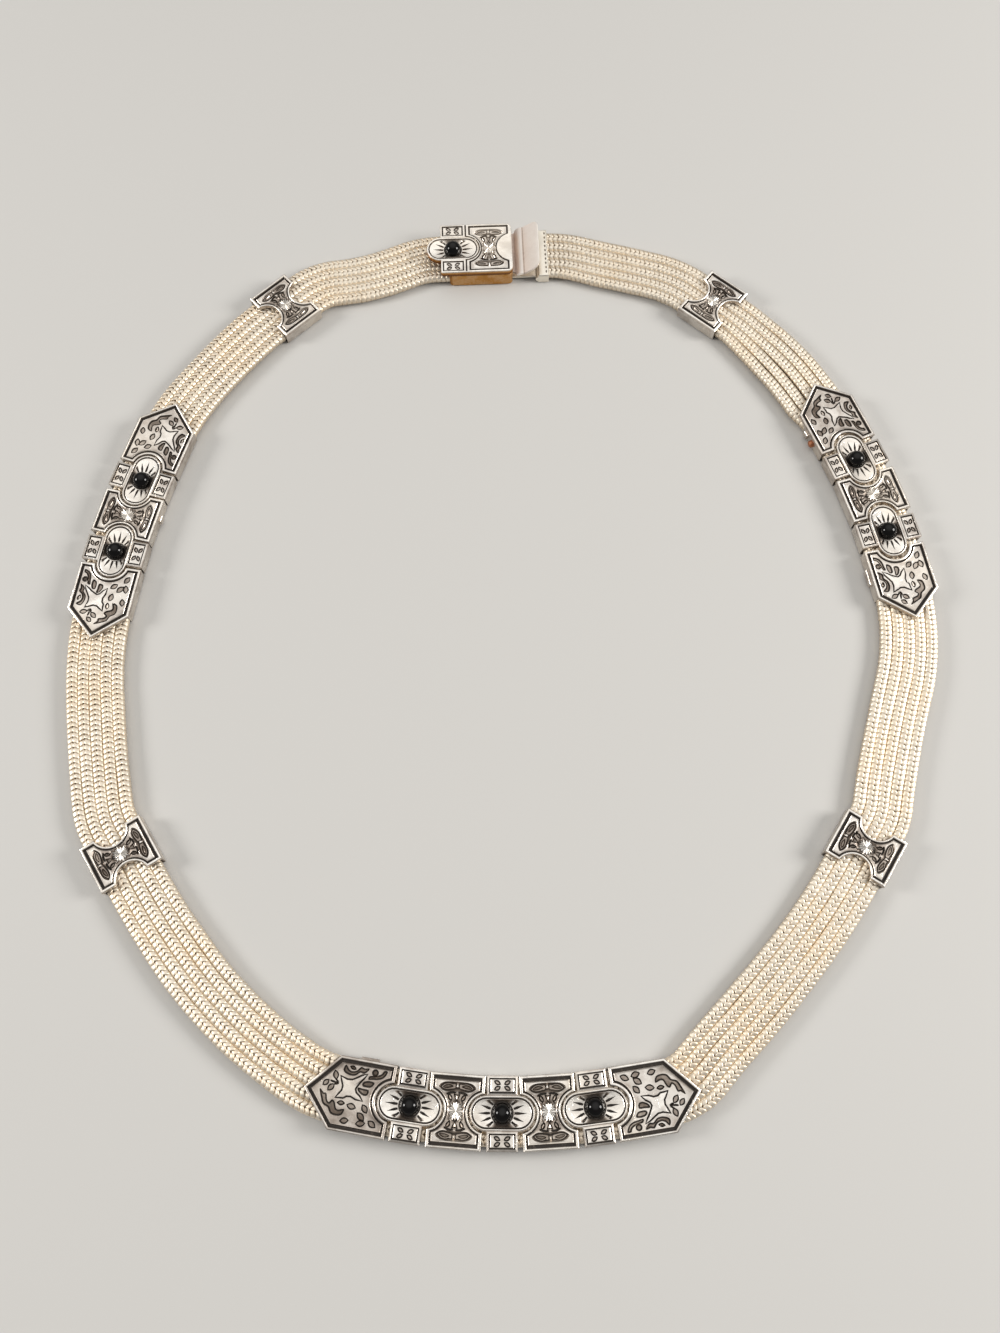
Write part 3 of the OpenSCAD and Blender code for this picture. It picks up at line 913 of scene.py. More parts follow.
# distance from an end, distance from a long side, depth below the top, darkness
RIM_LINES = [
    (0.0, 0.0, 0.20, 0.3),
    (0.05, 0.05, 0.07, 0.1),
    (0.13, 0.13, 0.015, 0.0),
    (0.23, 0.21, 0.0, 0.0),
    (0.34, 0.30, 0.015, 0.0),
    (0.43, 0.38, 0.07, 0.15),
    (0.48, 0.43, 0.20, 0.7),
    (0.52, 0.47, 0.36, 1.0),
    (0.68, 0.82, 0.36, 1.0),
    (0.73, 0.88, 0.14, 0.35),
    (0.80, 0.94, 0.08, 0.0),
    (0.90, 1.03, FIELD, 0.06),
]
print("plates: %.1f mm wide, %.1f mm thick" % (PLATE_W, PLATE_T))


# %% Outline and rim
def rim_of(loop_at):
    return [(loop_at(d, e), depth, low) for d, e, depth, low in RIM_LINES]


def hourglass_loop(d, e, n=18):
    half_l, half_w = HOUR_L / 2 - d, PLATE_W / 2 - e
    radius = NOTCH_R + NOTCH_THIN * d
    reach = math.degrees(math.acos((NOTCH_OUT + d) / radius))
    right = ring_points((HOUR_L / 2 + NOTCH_OUT, 0), radius, 180 + reach, 180 - reach, n)
    return ([(half_l, -half_w)] + right + [(half_l, half_w), (-half_l, half_w)]
            + flipped(right, -1, -1) + [(-half_l, -half_w)])


# %% Palmette
GROUND = [(0.0, 2.76), (1.0, 2.74), (1.65, 2.70), (2.05, 2.80), (2.45, 3.08), (2.72, 3.40),
          (2.45, 3.82), (1.90, 4.16), (1.1, 4.27), (0.0, 4.29)]
WING = [(0.20, 3.22), (0.80, 3.00), (1.50, 2.88), (2.05, 2.98), (2.50, 3.32), (2.22, 3.68),
        (1.85, 3.98), (1.25, 4.13), (0.72, 3.98), (0.24, 4.02)]
CORE = [(0.66, 3.50), (1.20, 3.26), (1.75, 3.18), (2.12, 3.32), (1.78, 3.68), (1.30, 3.84),
        (0.88, 3.72)]
BUD = [(0.0, 1.42), (0.28, 1.90), (0.42, 2.32), (0.0, 2.24), (-0.42, 2.32), (-0.28, 1.90)]
# the palmette is pressed together from here outwards, clear of the line along the rim
PRESS_FROM, PRESS = 2.7, 0.84


def palmette():
    """The ornament of one wide end of the hourglass, on the side of +Y."""
    r = Relief()
    nested(r, smooth_loop(GROUND + flipped(GROUND[-2:0:-1]), 2),
           ((-0.05, FIELD - 0.04, 0.0), (0.04, 0.22, 0.45)))
    for e in (-1, 1):
        wing, core = (flipped(smooth_loop(part, 2), e)[::e] for part in (WING, CORE))
        nested(r, wing, ((0, CUT - 0.04, 1.0), (0.09, CUT - 0.06, 1.0), (0.15, 0.16, 0.42)))
        nested(r, core, ((-0.05, 0.16, 0.45), (0, 0.32, 1.0), (0.09, 0.26, 0.7)))
        r.line(flipped([(0.95, 3.57), (1.35, 3.52), (1.80, 3.42)], e), 0.12, 0.15, closed=False)
        stroke(r, flipped([(0.10, 2.52), (0.60, 2.56), (1.15, 2.44), (1.60, 2.22)], e), 0.22)
        gray_leaf(r, e * 0.98, 1.86, 90 - e * 27, 1.1, 0.56, 0.55)
    r.line(lens_loop(0, 3.62, 0, 0.38, 0.36, 5), 0.04, 0.0)
    nested(r, BUD, ((-0.08, FIELD, 0.08), (0, CUT - 0.02, 1.0), (0.08, 0.28, 0.7)))
    r.line([(0, 1.75), (0, 2.08)], 0.16, 0.2, closed=False)
    r.points = [(x, min(y, PRESS_FROM) + max(y - PRESS_FROM, 0) * PRESS) for x, y in r.points]
    return r


# %% Star
STAR_SHAPE = (0.92, 1.10)


def star():
    """Sixteen bright rays at the waist."""
    r = Relief()
    foot, tips = [], []
    for i in range(32):
        reach = (1.42 if i % 4 == 0 else 1.18) if i % 2 == 0 else 0.86
        tips.append(reach * unit(i * 11.25) * STAR_SHAPE)
        foot.append((reach + 0.05) * unit(i * 11.25) * STAR_SHAPE)
    r.line([1.52 * unit(i * 11.25) * (0.86, 1.08) for i in range(32)], FIELD + 0.04, 0.5)
    r.line(foot, 0.24, 0.8)
    edge = r.line(tips, 0.10, 0.0)
    for i in edge[1::2]:
        r.depth[i] = 0.17
    r.spokes((0, 0), edge, 0.0, 0.0)
    return r


# %% Hourglass plate
# polish hardly reaches the ground of the narrow waist
WAIST_LOW, END_LOW = 0.36, 0.22


def hourglass_face(r):
    half = palmette()
    r.mirrored(half, 1, 1)
    r.mirrored(half, 1, -1)
    r.mirrored(star(), 1, 1)
    r.low = [low if depth != FIELD else WAIST_LOW if abs(y) < PRESS_FROM else END_LOW
             for (x, y), depth, low in zip(r.points, r.depth, r.low)]


def sleeved_plate(label, rim, face, x0, x1, lean=0.0):
    """A lid with its rim and ornament, on a sleeve that leans by lean from x0 to x1."""
    shell, r = ([], [], []), Relief()
    outline, *_ = [r.line(*row) for row in rim]
    face(r)
    crossings = lid_shell(r, outline, PLATE_T, LID_Z, shell)
    channel_shell(x0 + 0.03, x1 - 0.03, lean, shell)
    print(label, "plate:", len(shell[2]), "faces,", crossings, "crossings")
    return shell


HOURGLASS = sleeved_plate("hourglass", rim_of(hourglass_loop), hourglass_face,
                          -HOUR_L / 2, HOUR_L / 2)


# %% [markdown]
# ## The pointed plate
# A pointed plate ends each group. The notch round the oval and the angle of the point set
# its outline. The swallow, the leaves and the fronds are loops listed point by point, because
# no rule gives their shape, and a curve through the points rounds the fronds.

# %% Swallow
SWALLOW = [
    (8.05, 0.60), (7.55, 0.50), (7.05, 0.48), (6.65, 0.16), (5.95, 0.08), (5.20, 0.38),
    (4.25, 0.48), (4.75, -0.02), (5.35, -0.42), (5.58, -0.95), (5.38, -1.40), (5.05, -2.00),
    (4.60, -2.62), (4.15, -3.22), (4.80, -2.90), (5.40, -2.50), (6.15, -2.05), (6.90, -1.98),
    (7.85, -2.28), (7.58, -1.70), (7.30, -1.10), (7.36, -0.40), (7.72, 0.12),
]
SPINES = [
    [(4.9, -2.3), (5.8, -1.5), (6.5, -0.8), (7.3, 0.1)], [(6.0, -0.9), (5.6, -0.2), (4.9, 0.2)],
    [(6.5, -1.2), (7.0, -1.7), (7.4, -1.95)],
]


def swallow(r):
    nested(r, SWALLOW, ((-0.24, FIELD, 0.1), (-0.18, CUT - 0.05, 1.0), (-0.05, CUT - 0.05, 1.0),
                        (0.03, 0.06, 0.0)))
    for spine in SPINES:
        r.line(spine, 0.02, 0.0, closed=False)


# %% Outline of the pointed plate
def pointed_loop(d, e, n=18):
    """d is the distance from the notched end, e from the long sides and the point."""
    lean = math.atan2(PLATE_W / 2, TIP_POINT)
    point = TIP_BASE + TIP_POINT - e / math.sin(lean)
    half = PLATE_W / 2 - e
    shoulder = point - half / math.tan(lean)
    radius = NOTCH_R + d
    reach = math.degrees(math.acos((NOTCH_OUT + d) / radius))
    notch = ring_points((-NOTCH_OUT, 0), radius, reach, -reach, n)
    return [(d, -half), (shoulder, -half), (point, 0), (shoulder, half), (d, half)] + notch


# %% Leaves and fronds of the pointed plate
OPEN_LEAVES = [
    # x, y, angle, length, width
    (3.85, 3.58, 12, 1.40, 0.86), (2.20, 3.40, -30, 1.40, 0.84), (4.00, 2.65, -38, 1.45, 0.88),
    (3.62, 1.52, -52, 1.35, 0.84), (5.62, 1.50, -10, 1.40, 0.84), (6.25, 3.58, 14, 1.30, 0.82),
    (9.10, -0.62, 52, 1.30, 0.78), (9.95, -1.15, 48, 1.15, 0.72), (8.72, -2.40, -72, 1.30, 0.78),
]
GRAY_LEAVES = [
    (7.20, 1.28, 4, 1.15, 0.62), (6.40, -3.78, -16, 1.00, 0.50),
]
PATCHES = [
    # the large frond, two feathers of the wing, the wave and the scroll under the bird
    [(10.60, -0.10), (10.20, 0.95), (9.75, 1.80), (8.95, 2.15), (8.45, 2.85), (7.70, 3.05),
     (6.85, 2.85), (6.60, 2.10), (7.35, 2.30), (7.80, 2.15), (8.15, 1.35), (8.55, 1.10),
     (8.95, 1.55), (9.35, 1.20), (9.60, 0.40), (10.05, 0.35)],
    [(3.60, -1.05), (4.40, -1.10), (5.10, -1.15), (5.00, -0.75), (4.55, -0.45), (4.10, -0.30),
     (3.65, -0.45)],
    [(2.95, -2.15), (3.60, -2.30), (4.30, -2.15), (4.58, -1.85), (4.45, -1.55), (3.90, -1.50),
     (3.30, -1.60)],
    [(1.80, -4.02), (2.00, -3.62), (2.50, -3.30), (3.20, -3.12), (3.75, -2.98), (3.85, -2.60),
     (3.20, -2.68), (2.40, -2.80), (1.70, -3.20), (1.32, -4.00)],
    [(4.05, -4.00), (4.70, -3.90), (5.25, -4.02), (5.75, -3.45), (6.40, -3.22), (7.00, -3.42),
     (7.50, -3.95), (7.72, -3.35), (7.40, -2.95), (6.60, -2.72), (5.85, -2.85), (5.25, -3.35),
     (4.60, -3.30)],
]
BALL = (3.05, -3.62)
PATCH_STEPS = ((-0.08, FIELD, 0.12), (-0.02, CUT - 0.04, 1.0), (0.13, CUT - 0.05, 1.0))
TAIL = (8.0, -1.42)
TAIL_ENDS = [(8.75, -1.15), (9.45, -1.55), (8.55, -1.80)]


# %% Pointed plate
POINTED_LOW = 0.25


def pointed_face(r):
    r.low = [POINTED_LOW if depth == FIELD else low for depth, low in zip(r.depth, r.low)]
    swallow(r)
    for row in OPEN_LEAVES:
        leaf(r, *row, OPEN_STEPS)
    for row in GRAY_LEAVES:
        gray_leaf(r, *row)
    # sunk gray shapes with a dark outline
    for points, tone in [(p, 0.52) for p in PATCHES] + [(circle(BALL, 0.44, 10), 0.7)]:
        nested(r, smooth_loop(points, 3), PATCH_STEPS + ((0.19, 0.26, tone),))
    for x, y in TAIL_ENDS:
        stroke(r, [TAIL, ((TAIL[0] + x) / 2, (TAIL[1] + y) / 2 + 0.08), (x, y)], 0.2)


# the sleeve's hole shifts sideways on the way to the point, to either side
POINTED, POINTED_BACK = (
    sleeved_plate("pointed", rim_of(pointed_loop), pointed_face, 0, TIP_BASE, lean)
    for lean in (0.2, -0.2))


# %% [markdown]
# ## The oval plate
# The oval plate is a square block with an oval laid across it, so its outline is the two in
# one. The dish slopes down to the stone. A formula gives its depth at any place, so the
# rays lie on the slope wherever they are cut.

# %% Outline of the oval plate
def union_loop(n=13):
    """Outline of the square block and the oval dish in one."""
    rad, half_b, half_w = OVAL_W / 2, BLOCK_L / 2, PLATE_W / 2
    right = ring_points((OVAL_ARC, 0), rad, -90, 90, n)
    half = [(half_b, -half_w), (half_b, -rad)] + right + [(half_b, rad), (half_b, half_w)]
    return half + flipped(half, -1, -1)


def oval_loop(d, n=13):
    half = ring_points((OVAL_ARC, 0), OVAL_W / 2 - d, -90, 90, n)
    return half + flipped(half, -1, -1)


# %% Small squares beside the dish
# one square: its half length, inner and outer side
PANEL_X, PANEL_IN, PANEL_OUT = BLOCK_L / 2 - 0.30, -1.10, 1.06
# distance from its edge, depth and darkness of the lines round it
PANEL_LINES = ((0.0, 0.0, 0.0), (0.06, 0.3, 1.0), (0.17, 0.3, 1.0), (0.23, 0.1, 0.2),
               (0.30, 0.06, 0.0))
PANEL_LEAF = (1.10, 0.67)
# its growth in length and width, depth and darkness
PANEL_STEPS = ((0.08, 0.07, 0.08, 0.12), (0.0, 0.0, 0.30, 1.0), (-0.34, -0.30, 0.30, 1.0),
               (-0.48, -0.42, 0.15, 0.35))


def side_panel():
    """One of the two small squares beside the dish, with its outer edge on the side of +Y."""
    r = Relief()
    for d, depth, low in PANEL_LINES:
        r.line(rectangle(-PANEL_X, PANEL_IN, PANEL_X, PANEL_OUT, d), depth, low)
    for ex in (-1, 1):
        for ey in (-1, 1):
            for longer, wider, depth, low in PANEL_STEPS:
                r.line(lens_loop(ex * 0.74, ey * 0.39, ex * ey * 27, PANEL_LEAF[0] + longer,
                                 PANEL_LEAF[1] + wider, 6), depth, low)
    return r


# %% Dish of the stone
STONE_R = 1.5
DISH_RIM = OVAL_W / 2 - 0.56


def cone_depth(p, near=1.6, deep=0.42, shallow=0.10):
    """The dish slopes straight from its rim down to the stone."""
    r = math.hypot(*p)
    x, y = abs(p[0]) / r, abs(p[1]) / r
    if y * OVAL_ARC > x * DISH_RIM:
        reach = DISH_RIM / y
    else:
        reach = OVAL_ARC * x + math.sqrt(DISH_RIM ** 2 - (OVAL_ARC * y) ** 2)
    share = clamp((r - near) / (reach - near))
    return deep + (shallow - deep) * share


# distance from the oval's edge, depth, darkness
DISH_LINES = ((0.04, 0.10, 0.3), (0.10, 0.02, 0.0), (0.18, 0.0, 0.0), (0.27, 0.02, 0.0),
              (0.33, 0.12, 0.6), (0.37, 0.32, 1.0), (0.46, 0.32, 1.0), (0.51, 0.12, 0.3))
SIDE_CUTS = ([(0.9, 1.76), (1.7, 1.74), (2.5, 1.68)], [(1.3, 1.56), (1.7, 1.56), (2.3, 1.50)])
# angle, reach and half width of the rays at one end
RAYS = ((-40, 2.75, 0.12), (-20, 3.35, 0.14), (0, 3.65, 0.14), (20, 3.35, 0.14),
        (40, 2.75, 0.12))
RAY_CUT, RAY_FOOT, RAY_SHOULDER = 0.16, 1.80, 2.3
# distance from the stone, depth, darkness
SEAT_LINES = ((0.17, 0.40, 0.2), (0.13, 0.44, 1.0), (-0.03, 0.45, 1.0))


def dish(r, at=(0.0, 0.0)):
    """The oval with its rim, the rays and the seat of the stone."""
    part = Relief()
    for d, depth, low in DISH_LINES:
        part.line(oval_loop(d), depth, low)
    first = len(part.points)
    half = (ring_points((OVAL_ARC, 0), DISH_RIM, -90, 90, 17)
            + [(x, DISH_RIM) for x in np.linspace(2.0, -2.0, 9)])
    part.line(half + flipped(half, -1, -1), 0.10, 0.0)
    for ex in (-1, 1):
        for ey in (-1, 1):
            for curve in SIDE_CUTS:
                part.line(flipped(curve, ex, ey), 0.2, 1.0, closed=False)
    part.line(circle((0, 0), 1.76, 45), 0.2, 0.2)
    # painted shade: the dish is darkened along its sloping sides and left bright towards the ends
    for i in range(first, len(part.points)):
        x, y = part.points[i]
        aside = math.degrees(math.atan2(abs(y), abs(x)))
        part.depth[i] = cone_depth((x, y))
        part.low[i] = 0.88 * clamp((aside - 44) / 18)

    def on_cone(points, cut, low, closed=True):
        for i in part.line(points, 0.0, low, closed):
            part.depth[i] = cone_depth(part.points[i]) + cut

    for e in (0, 180):
        for a, reach, wide in RAYS:
            u, w = unit(e + a), left_of(unit(e + a))
            for grow, cut, low in ((0.06, 0.0, 0.0), (0.0, RAY_CUT, 1.0)):
                foot, side = w * (wide * 0.7 + grow), w * (wide + grow)
                on_cone([u * RAY_FOOT - foot, u * RAY_SHOULDER - side, u * (reach + grow),
                         u * RAY_SHOULDER + side, u * RAY_FOOT + foot], cut, low)
            on_cone([u * 1.88, u * RAY_SHOULDER, u * (reach - 0.15)], RAY_CUT, 1.0, closed=False)
    for grow, depth, low in SEAT_LINES:
        part.line(circle((0, 0), STONE_R + grow, 48), depth, low)
    r.mirrored(part, 1, 1, at)


# %% Oval plate
def oval_face(r, at=(0.0, 0.0)):
    dish(r, at)
    panel = side_panel()
    for ey in (-1, 1):
        r.mirrored(panel, 1, ey, (at[0], at[1] + ey * (PLATE_W + OVAL_W) / 4))


OVAL = sleeved_plate("oval", [(union_loop(), 0.10, 0.3)], oval_face, -BLOCK_L / 2, BLOCK_L / 2)

# %% Lugs and solder
# how far a side lug reaches from the middle line, its bottom and top, and its broken edge
LUG_IN, LUG_OUT, LUG_LOW, LUG_HIGH, LUG_EDGE = 4.95, 5.5, 0.5, 1.8, 0.08
# distance across a side wall and radius of the drop
DROP = [(5.0, 0.65), (5.2, 0.65), (5.45, 0.62), (5.62, 0.52), (5.72, 0.34), (5.75, 0.12)]


def with_lug(shell, x, length, side):
    """The same plate with a small block on one side wall."""
    out = tuple(list(part) for part in shell)
    section = [(LUG_IN, LUG_LOW), (LUG_OUT, LUG_LOW), (LUG_OUT, LUG_HIGH - LUG_EDGE),
               (LUG_OUT - LUG_EDGE, LUG_HIGH), (LUG_IN, LUG_HIGH)]
    loft(out, [[(end, side * y, z) for y, z in section]
               for end in (x - length / 2, x + length / 2)], [0.15, 0.15])
    return out


def solder_drop(x):
    """A drop of hard solder that has run out on the side wall."""
    shell = ([], [], [])
    loft(shell, [[(px, y, pz) for px, pz in circle((x, 1.15), radius, 20)] for y, radius in DROP],
         [0.45] * len(DROP))
    return shell


# %% [markdown]
# ## Setting the plates on the band
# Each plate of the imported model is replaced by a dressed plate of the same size, in the same
# place. The pointed plates at the start of a group look backwards, so they are turned by
# 180 degrees. A few plates were polished less than the rest, as the photo shows.

# %% Place the plates
PITCH = (HOUR_L + BLOCK_L) / 2 + GAP
TIP_AT = BLOCK_L / 2 + GAP
# the plates of the right group have slid a little further apart
RIGHT_GAP = 0.8
RIGHT_PITCH = (HOUR_L + BLOCK_L) / 2 + RIGHT_GAP
RIGHT_TIP = RIGHT_PITCH + BLOCK_L / 2 + RIGHT_GAP
PLATES = [
    ("front_tip_left", with_lug(POINTED_BACK, 4.25, 2.7, -1), FRONT, -2 * PITCH - TIP_AT, 180),
    ("front_oval_left", OVAL, FRONT, -2 * PITCH, 0),
    ("front_hourglass_left", HOURGLASS, FRONT, -PITCH, 0),
    ("front_oval_middle", OVAL, FRONT, 0, 0),
    ("front_hourglass_right", HOURGLASS, FRONT, PITCH, 0),
    ("front_oval_right", OVAL, FRONT, 2 * PITCH, 0),
    ("front_tip_right", POINTED, FRONT, 2 * PITCH + TIP_AT, 0),
    ("left_tip_upper", POINTED_BACK, LEFT, -PITCH - TIP_AT, 180),
    ("left_oval_upper", OVAL, LEFT, -PITCH, 0),
    ("left_hourglass", with_lug(HOURGLASS, -1.0, 1.0, 1), LEFT, 0, 0),
    ("left_oval_lower", OVAL, LEFT, PITCH, 0),
    ("left_tip_lower", POINTED, LEFT, PITCH + TIP_AT, 0),
    ("right_tip_lower", with_lug(POINTED_BACK, 4.3, 2.7, -1), RIGHT, -RIGHT_TIP, 180),
    ("right_oval_lower", OVAL, RIGHT, -RIGHT_PITCH, 0),
    ("right_hourglass", HOURGLASS, RIGHT, 0, 0),
    ("right_oval_upper", OVAL, RIGHT, RIGHT_PITCH, 0),
    ("right_tip_upper", with_lug(POINTED, 5.1, 1.0, 1), RIGHT, RIGHT_TIP, 0),
    ("upper_left_hourglass", HOURGLASS, UPPER_LEFT, 0, 0),
    ("upper_right_hourglass", HOURGLASS, UPPER_RIGHT, 0, 0),
    ("lower_left_hourglass", HOURGLASS, LOWER_LEFT, 0, 0),
    ("lower_right_hourglass", HOURGLASS, LOWER_RIGHT, 0, 0),
]
DULL = {"front_tip_left": 0.17, "right_tip_upper": 0.10, "left_tip_upper": 0.06,
        "upper_left_hourglass": 0.05, "front_hourglass_left": 0.04}
for node, shell, i, s, turn in PLATES:
    at, heading = spot(i, s)
    plate = plate_object(node + "_relief", shell, at, heading + turn, dull=DULL.get(node, 0.0))
    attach(plate, "choker")
    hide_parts(node)
print("plates:", len(PLATES))

# %% Bead of solder
COPPER = silver(
    "copper_solder",
    [(0.0, (0.80, 0.46, 0.30)), (0.5, (0.42, 0.17, 0.09)), (1.0, (0.10, 0.04, 0.02))],
    (0.62, 0.30, 0.15), 0.34, 0.2, 0.1, 0.6, 0.5)
at, heading = spot(RIGHT, RIGHT_TIP)
drop = plate_object("solder_bead", solder_drop(3.2), at, heading, COPPER)
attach(drop, "choker")
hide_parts("right_tip_upper")
print("bead:", len(drop.data.polygons), "faces")

# %% [markdown]
# ## Stones
# The stones are round cabochons of black onyx. A dome needs a smooth turned surface to
# mirror the lamps without facets, so each stone is a fine lathe form with its girdle seated
# in the dish.

# %% Onyx
def onyx_material():
    mat = plain_material("onyx", (0.006, 0.006, 0.007), 0.06)
    tree = mat.node_tree
    shader = tree.nodes["Principled BSDF"].inputs
    shader["Specular IOR Level"].default_value = 0.28
    place = wired(tree, "ShaderNodeTexCoord")["Object"]
    smear = noise_node(tree, place, 900, 3, 0.6)
    rough = wired(tree, "ShaderNodeMapRange", {"Value": smear, "To Min": 0.02, "To Max": 0.06})
    tree.links.new(rough["Result"], shader["Roughness"])
    deep = noise_node(tree, place, 1400, 4, 0.6)
    color = ramp(tree, deep, [(0.3, (0.001, 0.001, 0.001)), (0.8, (0.004, 0.003, 0.003))])
    tree.links.new(color, shader["Base Color"])
    return mat


ONYX = onyx_material()
print("stone material:", ONYX.name)

# %% Cabochons
DOME = 1.3
# the girdle: depth of its foot, of its widest place and of its top below the plate's face
GIRDLE = (0.48, 0.42, 0.06)


def stone_shell(top, turns=56, levels=14):
    radius = (STONE_R ** 2 + DOME ** 2) / (2 * DOME)
    half = math.asin(STONE_R / radius)
    foot, wide, rise = (top - depth for depth in GIRDLE)
    profile = [(STONE_R * 0.96, foot), (STONE_R, wide), (STONE_R, rise)]
    for i in range(1, levels):
        a = half * (1 - i / levels)
        profile.append((radius * math.sin(a), rise + DOME - radius * (1 - math.cos(a))))
    shell = ([], [], [])
    loft(shell, [[(x, y, z) for x, y in circle((0, 0), r, turns)] for r, z in profile],
         [0.0] * len(profile), (0, 0, rise + DOME))
    return shell


FACE_PITCH = (HOUR_L + BLOCK_L) / 2 + 0.3
CLASP_T = 4.2
STONES = [
    ("stone_front_left", FRONT, -2 * PITCH, PLATE_T), ("stone_front_middle", FRONT, 0, PLATE_T),
    ("stone_front_right", FRONT, 2 * PITCH, PLATE_T), ("stone_left_upper", LEFT, -PITCH, PLATE_T),
    ("stone_left_lower", LEFT, PITCH, PLATE_T), ("stone_right_lower", RIGHT, -RIGHT_PITCH, PLATE_T),
    ("stone_right_upper", RIGHT, RIGHT_PITCH, PLATE_T), ("stone_clasp", CLASP, FACE_PITCH, CLASP_T),
]
for node, i, s, top in STONES:
    at, _ = spot(i, s)
    stone = plate_object(node + "_dome", stone_shell(top), at, 0, ONYX, sharp=60)
    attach(stone, "choker")
    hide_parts(node)
print("stones:", len(STONES))

# %% [markdown]
# ## The clasp
# The clasp is a box clasp, the usual closure of a heavy silver chain. The two ornamented
# faces are soldered on a plain box of sheet. A folded tongue slides in at the mouth, and its
# lever springs up behind the lip. The thumb tab at its end is bent up and brushed. The walls
# of the box are never polished by wear, so they have kept a brown film. The inside of the
# box, the underside of its overhanging face and the lever near the mouth carry painted shade.

# %% Walls of the box
CLASP_END, MOUTH = 8.85, -4.3
BODY_TOP, CAVITY_HALF = 3.12, 4.4


def tube_shell(sections, shell, low_out, shade_in=0.95):
    """A rectangular tube along X: each section has x, the outer half width, bottom, top and
    corner cut, then the half width, bottom and top of its hole."""
    base = len(shell[0])
    for x, half, z0, z1, cut, hole, h0, h1 in sections:
        outer = [(half, z0 + cut), (half, z1 - cut), (half - cut, z1), (-half + cut, z1),
                 (-half, z1 - cut), (-half, z0 + cut), (-half + cut, z0), (half - cut, z0)]
        inner = [(hole, h0), (hole, h1), (hole, h1), (-hole, h1),
                 (-hole, h1), (-hole, h0), (-hole, h0), (hole, h0)]
        # painted shade: the faces inside the hole are darkened
        for (y, z), low in [(q, low_out) for q in outer] + [(q, shade_in) for q in inner]:
            shell[0].append((x, y, z))
            shell[1].append(low)
    rows = len(sections)

    def quad(*corners):
        kept = []
        for q in corners:
            if shell[0][q] not in [shell[0][k] for k in kept]:
                kept.append(q)
        if len(kept) > 2:
            shell[2].append(tuple(kept))

    for i in range(rows - 1):
        for k in range(8):
            a, b = base + 16 * i + k, base + 16 * i + (k + 1) % 8
            quad(a, b, b + 16, a + 16)
            a, b = a + 8, b + 8
            quad(b, a, a + 16, b + 16)
    for i, flip in ((0, -1), (rows - 1, 1)):
        for k in range(8):
            a, b = base + 16 * i + k, base + 16 * i + (k + 1) % 8
            quad(*((a, b, b + 8, a + 8)[::flip]))


# %% Face of the box
def box_loop(d, n=5):
    """The plain top of the box with the end of the oval beyond it."""
    rad, half = 1.0 - d, PLATE_W / 2 - d
    x0, x1 = MOUTH + d, CLASP_END - d
    dish_r = OVAL_W / 2 - d
    reach = math.degrees(math.acos((x1 - FACE_PITCH - OVAL_ARC) / dish_r))
    end = ring_points((FACE_PITCH + OVAL_ARC, 0), dish_r, -reach, reach, 15)
    side = (ring_points((x1 - 0.4, half - 0.4), 0.4, 0, 90, n)
            + ring_points((x0 + rad, half - rad), rad, 90, 180, n))
    return end + side + flipped(side[::-1], 1, -1)


BOX_EDGE = ((0.0, 0.12, 0.6), (0.06, 0.02, 0.1), (0.12, 0.0, 0.02))
# the hourglass face of the box has a lower rim than the plates
FACE_RIM = ((0.36, 0.0, 0.02), (0.40, 0.06, 0.5), (0.44, 0.32, 1.0), (0.66, 0.32, 1.0),
            (0.71, 0.10, 0.3), (0.78, 0.08, 0.0), (0.92, FIELD, 0.08))
# the joint between the two faces runs round the oval: radius, x beside it, depth, darkness
JOINT_ARC = FACE_PITCH - OVAL_ARC
JOINT_LINES = ((2.455, 4.34, 0.0, 0.1), (2.51, 4.27, 0.3, 1.0), (2.60, 4.13, 0.3, 1.0),
               (2.66, 4.06, 0.0, 0.1))


def box_shell():
    shell = ([], [], [])
    r = Relief()
    outline, *_ = [r.line(box_loop(d), depth, low) for d, depth, low in BOX_EDGE]
    for d, depth, low in FACE_RIM:
        r.line(hourglass_loop(d, d), depth, low)
    hourglass_face(r)
    for reach, x, depth, low in JOINT_LINES:
        turn = math.degrees(math.acos(clamp((x - JOINT_ARC) / reach, -1.0)))
        bend = ring_points((JOINT_ARC, 0), reach, turn, 360 - turn, 25)
        r.line([(x, 5.02)] + bend + [(x, -5.02)], depth, low, closed=False)
    oval_face(r, (FACE_PITCH, 0))
    # painted shadow: the wall and the underside of the face, where it overhangs the box, are
    # darkened strongly
    crossings = lid_shell(r, outline, CLASP_T, BODY_TOP + 0.03, shell, 0.8)
    hole = (CAVITY_HALF, 0.4)
    tube_shell([(MOUTH + 0.08, 4.55, 0.15, BODY_TOP, 0.15, *hole, 2.65),
                (MOUTH + 0.25, 4.85, 0.05, BODY_TOP, 0.2, *hole, 2.65),
                (MOUTH + 0.5, 5.0, 0.0, BODY_TOP, 0.25, *hole, 2.65),
                (MOUTH + 0.52, 5.02, 0.0, BODY_TOP, 0.25, *hole, 3.0),
                (MOUTH + 0.95, 5.1, 0.0, BODY_TOP, 0.25, *hole, 3.0),
                (6.9, 5.1, 0.0, BODY_TOP, 0.25, *hole, 3.0)], shell, 0.3)
    tube_shell([(6.9, 5.1, 0.0, BODY_TOP, 0.25, 0.2, 1.0, 1.2),
                (7.2, 5.0, 0.1, BODY_TOP, 0.25, 0.2, 1.0, 1.2),
                (7.35, 4.8, 0.25, BODY_TOP - 0.1, 0.25, 0.2, 1.0, 1.2)], shell, 0.45)
    print("clasp box:", len(shell[2]), "faces,", crossings, "crossings")
    return shell


# %% Wear of the box
# everything above this height is the ornamented face
FACE_FROM = CLASP_T - 0.5


